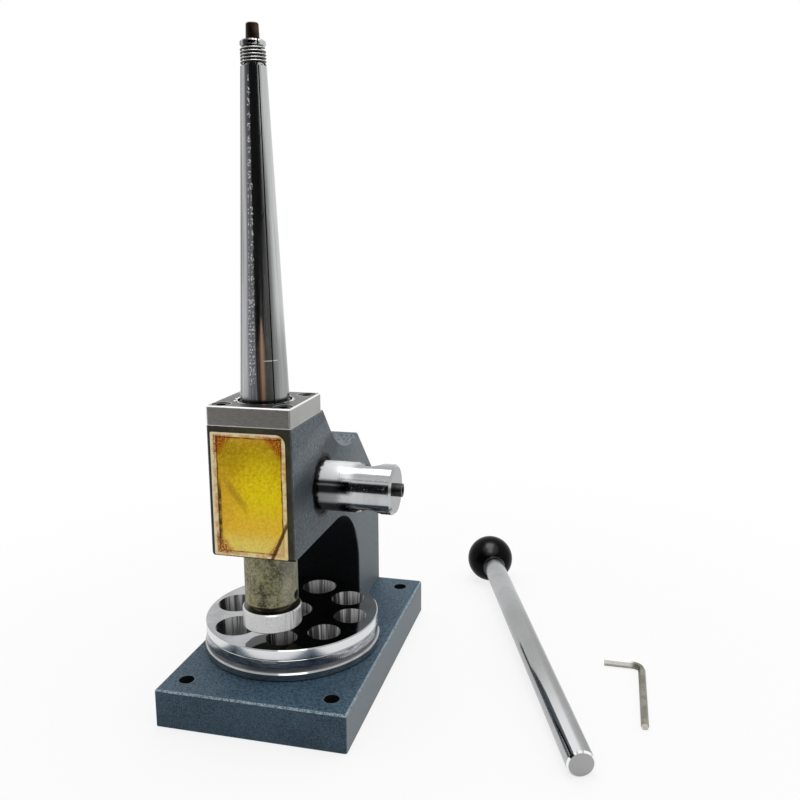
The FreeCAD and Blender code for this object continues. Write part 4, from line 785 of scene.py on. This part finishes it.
# The end is faced off dull, with a painted highlight on the chamfer round it.
towards_end = to_right * math.cos(rod_turn) - to_back * math.sin(rod_turn)
faced_off = towards_end.steps(0.84, 0.94)
colour = plated.layers(
    colour,
    (pores.steps(0.42, 0.60) * (0.22 + held * 0.08 + along.near(0.130, 0.060) * 0.30),
     (0.20, 0.205, 0.21)),
    (along.near(0.155, 0.085) * 0.55, greyed),
    (pale * 0.7, (0.92, 0.93, 0.94)),
    (right_side_shade * (0.55 + pores * 0.3), (0.20, 0.205, 0.20)),
    (towards_end.steps(0.30, 0.45), (0.97, 0.97, 0.97)),
    (faced_off, plated.mix(pores, (0.33, 0.335, 0.33), (0.45, 0.455, 0.45))))
keep("handle_rod", plated.set(Base_Color=colour, Roughness=haze + held * 0.12 + faced_off * 0.2))

blacked = Finish("collar_steel", Metallic=1.0)
patch_share = blacked.noise(600, 3)
keep("knob_collar", blacked.set(
    Base_Color=blacked.mix(patch_share, (0.03, 0.03, 0.035), (0.16, 0.17, 0.18)),
    Roughness=0.22 + patch_share * 0.15))


# ---------------------------------------------------------------- ball knob
# A moulded ball of black phenolic, screwed on the rod's stud.  A gloss coat laid on a patch of its
# upper side places a painted highlight there.

phenolic = Finish("black_phenolic", Specular_IOR_Level=0.05, Coat_IOR=1.5)
patchy_tone = phenolic.noise(90, 4)
to_right, to_back, to_top = phenolic.facing()
highlight_patch = to_right * 0.10 - to_back * 0.68 + to_top * 0.72 + (patchy_tone - 0.5) * 0.06
keep("ball_knob", phenolic.set(
    Base_Color=phenolic.mix(patchy_tone, (0.0008, 0.0010, 0.0012), (0.003, 0.003, 0.0035)),
    Roughness=0.16 + patchy_tone * 0.10, Coat_Weight=highlight_patch.steps(0.90, 0.985) * 0.7,
    Coat_Roughness=0.2))


# ---------------------------------------------------------------- hexagon key
# A bent nickel-plated hexagon bar.  The short arm is painted brighter and its top white, as light;
# the cut end is brighter than the long arm, whose edges are brown.

nickel = Finish("key_nickel", Metallic=0.9)
x, y = nickel.axes()[:2]
to_right, to_back, to_top = nickel.facing()
tarnish = nickel.noise(150, 3)
short = x.steps(0.2165, 0.2125)
colour = nickel.layers(
    nickel.mix(tarnish.steps(0.35, 0.65), (0.20, 0.190, 0.148), (0.30, 0.290, 0.240)),
    # The short arm and its top are painted brighter, as light.
    (short * 0.8, (0.52, 0.50, 0.42)),
    (short * to_top.steps(0.30, 0.45), (1.0, 0.99, 0.95)),
    (to_back.steps(-0.8, -0.95) * y.steps(-0.025, -0.030), (0.62, 0.60, 0.53)),
    (nickel.worn_edges(0.0006).steps(0.02, 0.10) * 0.5, (0.14, 0.12, 0.09)))
keep("hex_key", nickel.set(Base_Color=colour, Roughness=0.36 + tarnish * 0.1))


# ---------------------------------------------------------------- studio
# A white table top in a white room.  The room's near end is dark, and polished metal shows it as
# a black band.  One soft lamp hangs overhead and a weaker one in front.

floor_mesh = bpy.data.meshes.new("table_top")
edit = bmesh.new()
bmesh.ops.create_grid(edit, x_segments=24, y_segments=24, size=1.0)
bmesh.ops.translate(edit, verts=edit.verts, vec=(0.1, 0.62, -0.0002))
edit.to_mesh(floor_mesh)
edit.free()
floor = bpy.data.objects.new("table_top", floor_mesh)
bpy.context.scene.collection.objects.link(floor)
paper = Finish("white_paper", Roughness=0.9)
paper.set(Base_Color=(0.80, 0.80, 0.80, 1))
sight = paper.node("LightPath", output="Is Camera Ray")
gloss = paper.node("LightPath", output="Is Glossy Ray")
seen_light = paper.node("Emission", None, {"Color": (1, 1, 1, 1), "Strength": 1.0})
x, y = paper.axes(paper.place((0.06, 0.02, 0)))[:2]
share = (sight + gloss * 0.5).least(1.0) * (0.80 + x.span(y).steps(0.18, 0.5) * 0.20)
both = paper.node("MixShader", None,
                  {0: share, 1: Signal(paper, paper.shader.outputs[0]), 2: seen_light})
paper.tree.links.new(both.socket, paper.tree.nodes["Material Output"].inputs["Surface"])
floor_mesh.materials.append(paper.material)

room = bpy.data.worlds.new("white_room")
bpy.context.scene.world = room
room.use_nodes = True


class Room(Finish):
    """The world's nodes, made with the same method as a finish."""

    def __init__(self, world):
        self.tree = world.node_tree


walls = Room(room)
degree = math.pi / 180
x, y, z = walls.axes(walls.node("TexCoord", output="Generated"))
bearing = x.maths("ARCTAN2", -y)
height = z.maths("ARCSINE")
from_middle = abs(bearing - 5 * degree)
half = (height * 1.7 + 33 * degree).least(52 * degree).most(17 * degree)
dark = (1 - (from_middle - half).steps(-0.06, 0.06)) * (1 - height.steps(31 * degree, 37 * degree))
rail = height.near(46 * degree, 2.5 * degree) * from_middle.steps(1.1, 0.8)
# At eye level the dark end runs on to the right and fades out.
beside = bearing.steps(125 * degree, 50 * degree) * bearing.steps(-5 * degree, 5 * degree) * 0.93
eye_level = height.steps(13 * degree, 6 * degree) * height.steps(-20 * degree, -13 * degree)
dark = dark.most(rail * 0.65).most(beside * eye_level)
sight = walls.node("LightPath", output="Is Camera Ray")
gloss = walls.node("LightPath", output="Is Glossy Ray")
gloss = gloss.most(walls.node("LightPath", output="Is Transmission Ray"))
mirrored = 0.95 - dark * 0.94
spread = 0.95 - (-y).steps(-0.25, 0.80) * 0.60
level = gloss * mirrored + (1 - gloss) * spread
backdrop = walls.tree.nodes["Background"]
walls.tree.links.new((sight + (1 - sight) * level).socket, backdrop.inputs["Strength"])
backdrop.inputs["Color"].default_value = (1, 1, 1, 1)

for name, where, turn, size, power in (
        ("overhead_lamp", (0.05, 0.12, 1.1), (0.1, 0, 0), 0.6, 3.6),
        ("front_lamp", (0.17, -0.40, 1.0), (0.38, 0.12, 0), 0.45, 1.6)):
    lamp = bpy.data.lights.new(name, "AREA")
    lamp.size, lamp.energy = size, power
    hung = bpy.data.objects.new(name, lamp)
    hung.location, hung.rotation_euler = where, turn
    bpy.context.scene.collection.objects.link(hung)

eye, heading, dip, roll = (0.192795, -0.500512, 0.285972), 14.143, 10.468, -0.308
view = bpy.data.cameras.new("camera")
view.sensor_width, view.lens = 36, 38.056
view.shift_y = -0.0147
view.clip_start, view.clip_end = 0.01, 20
camera = bpy.data.objects.new("camera", view)
camera.matrix_world = (Matrix.Translation(eye)
                       @ Matrix.Rotation(math.radians(heading), 4, "Z")
                       @ Matrix.Rotation(math.radians(90 - dip), 4, "X")
                       @ Matrix.Rotation(math.radians(roll), 4, "Z"))
bpy.context.scene.collection.objects.link(camera)
bpy.context.scene.camera = camera
bpy.context.scene.view_settings.view_transform = "Standard"
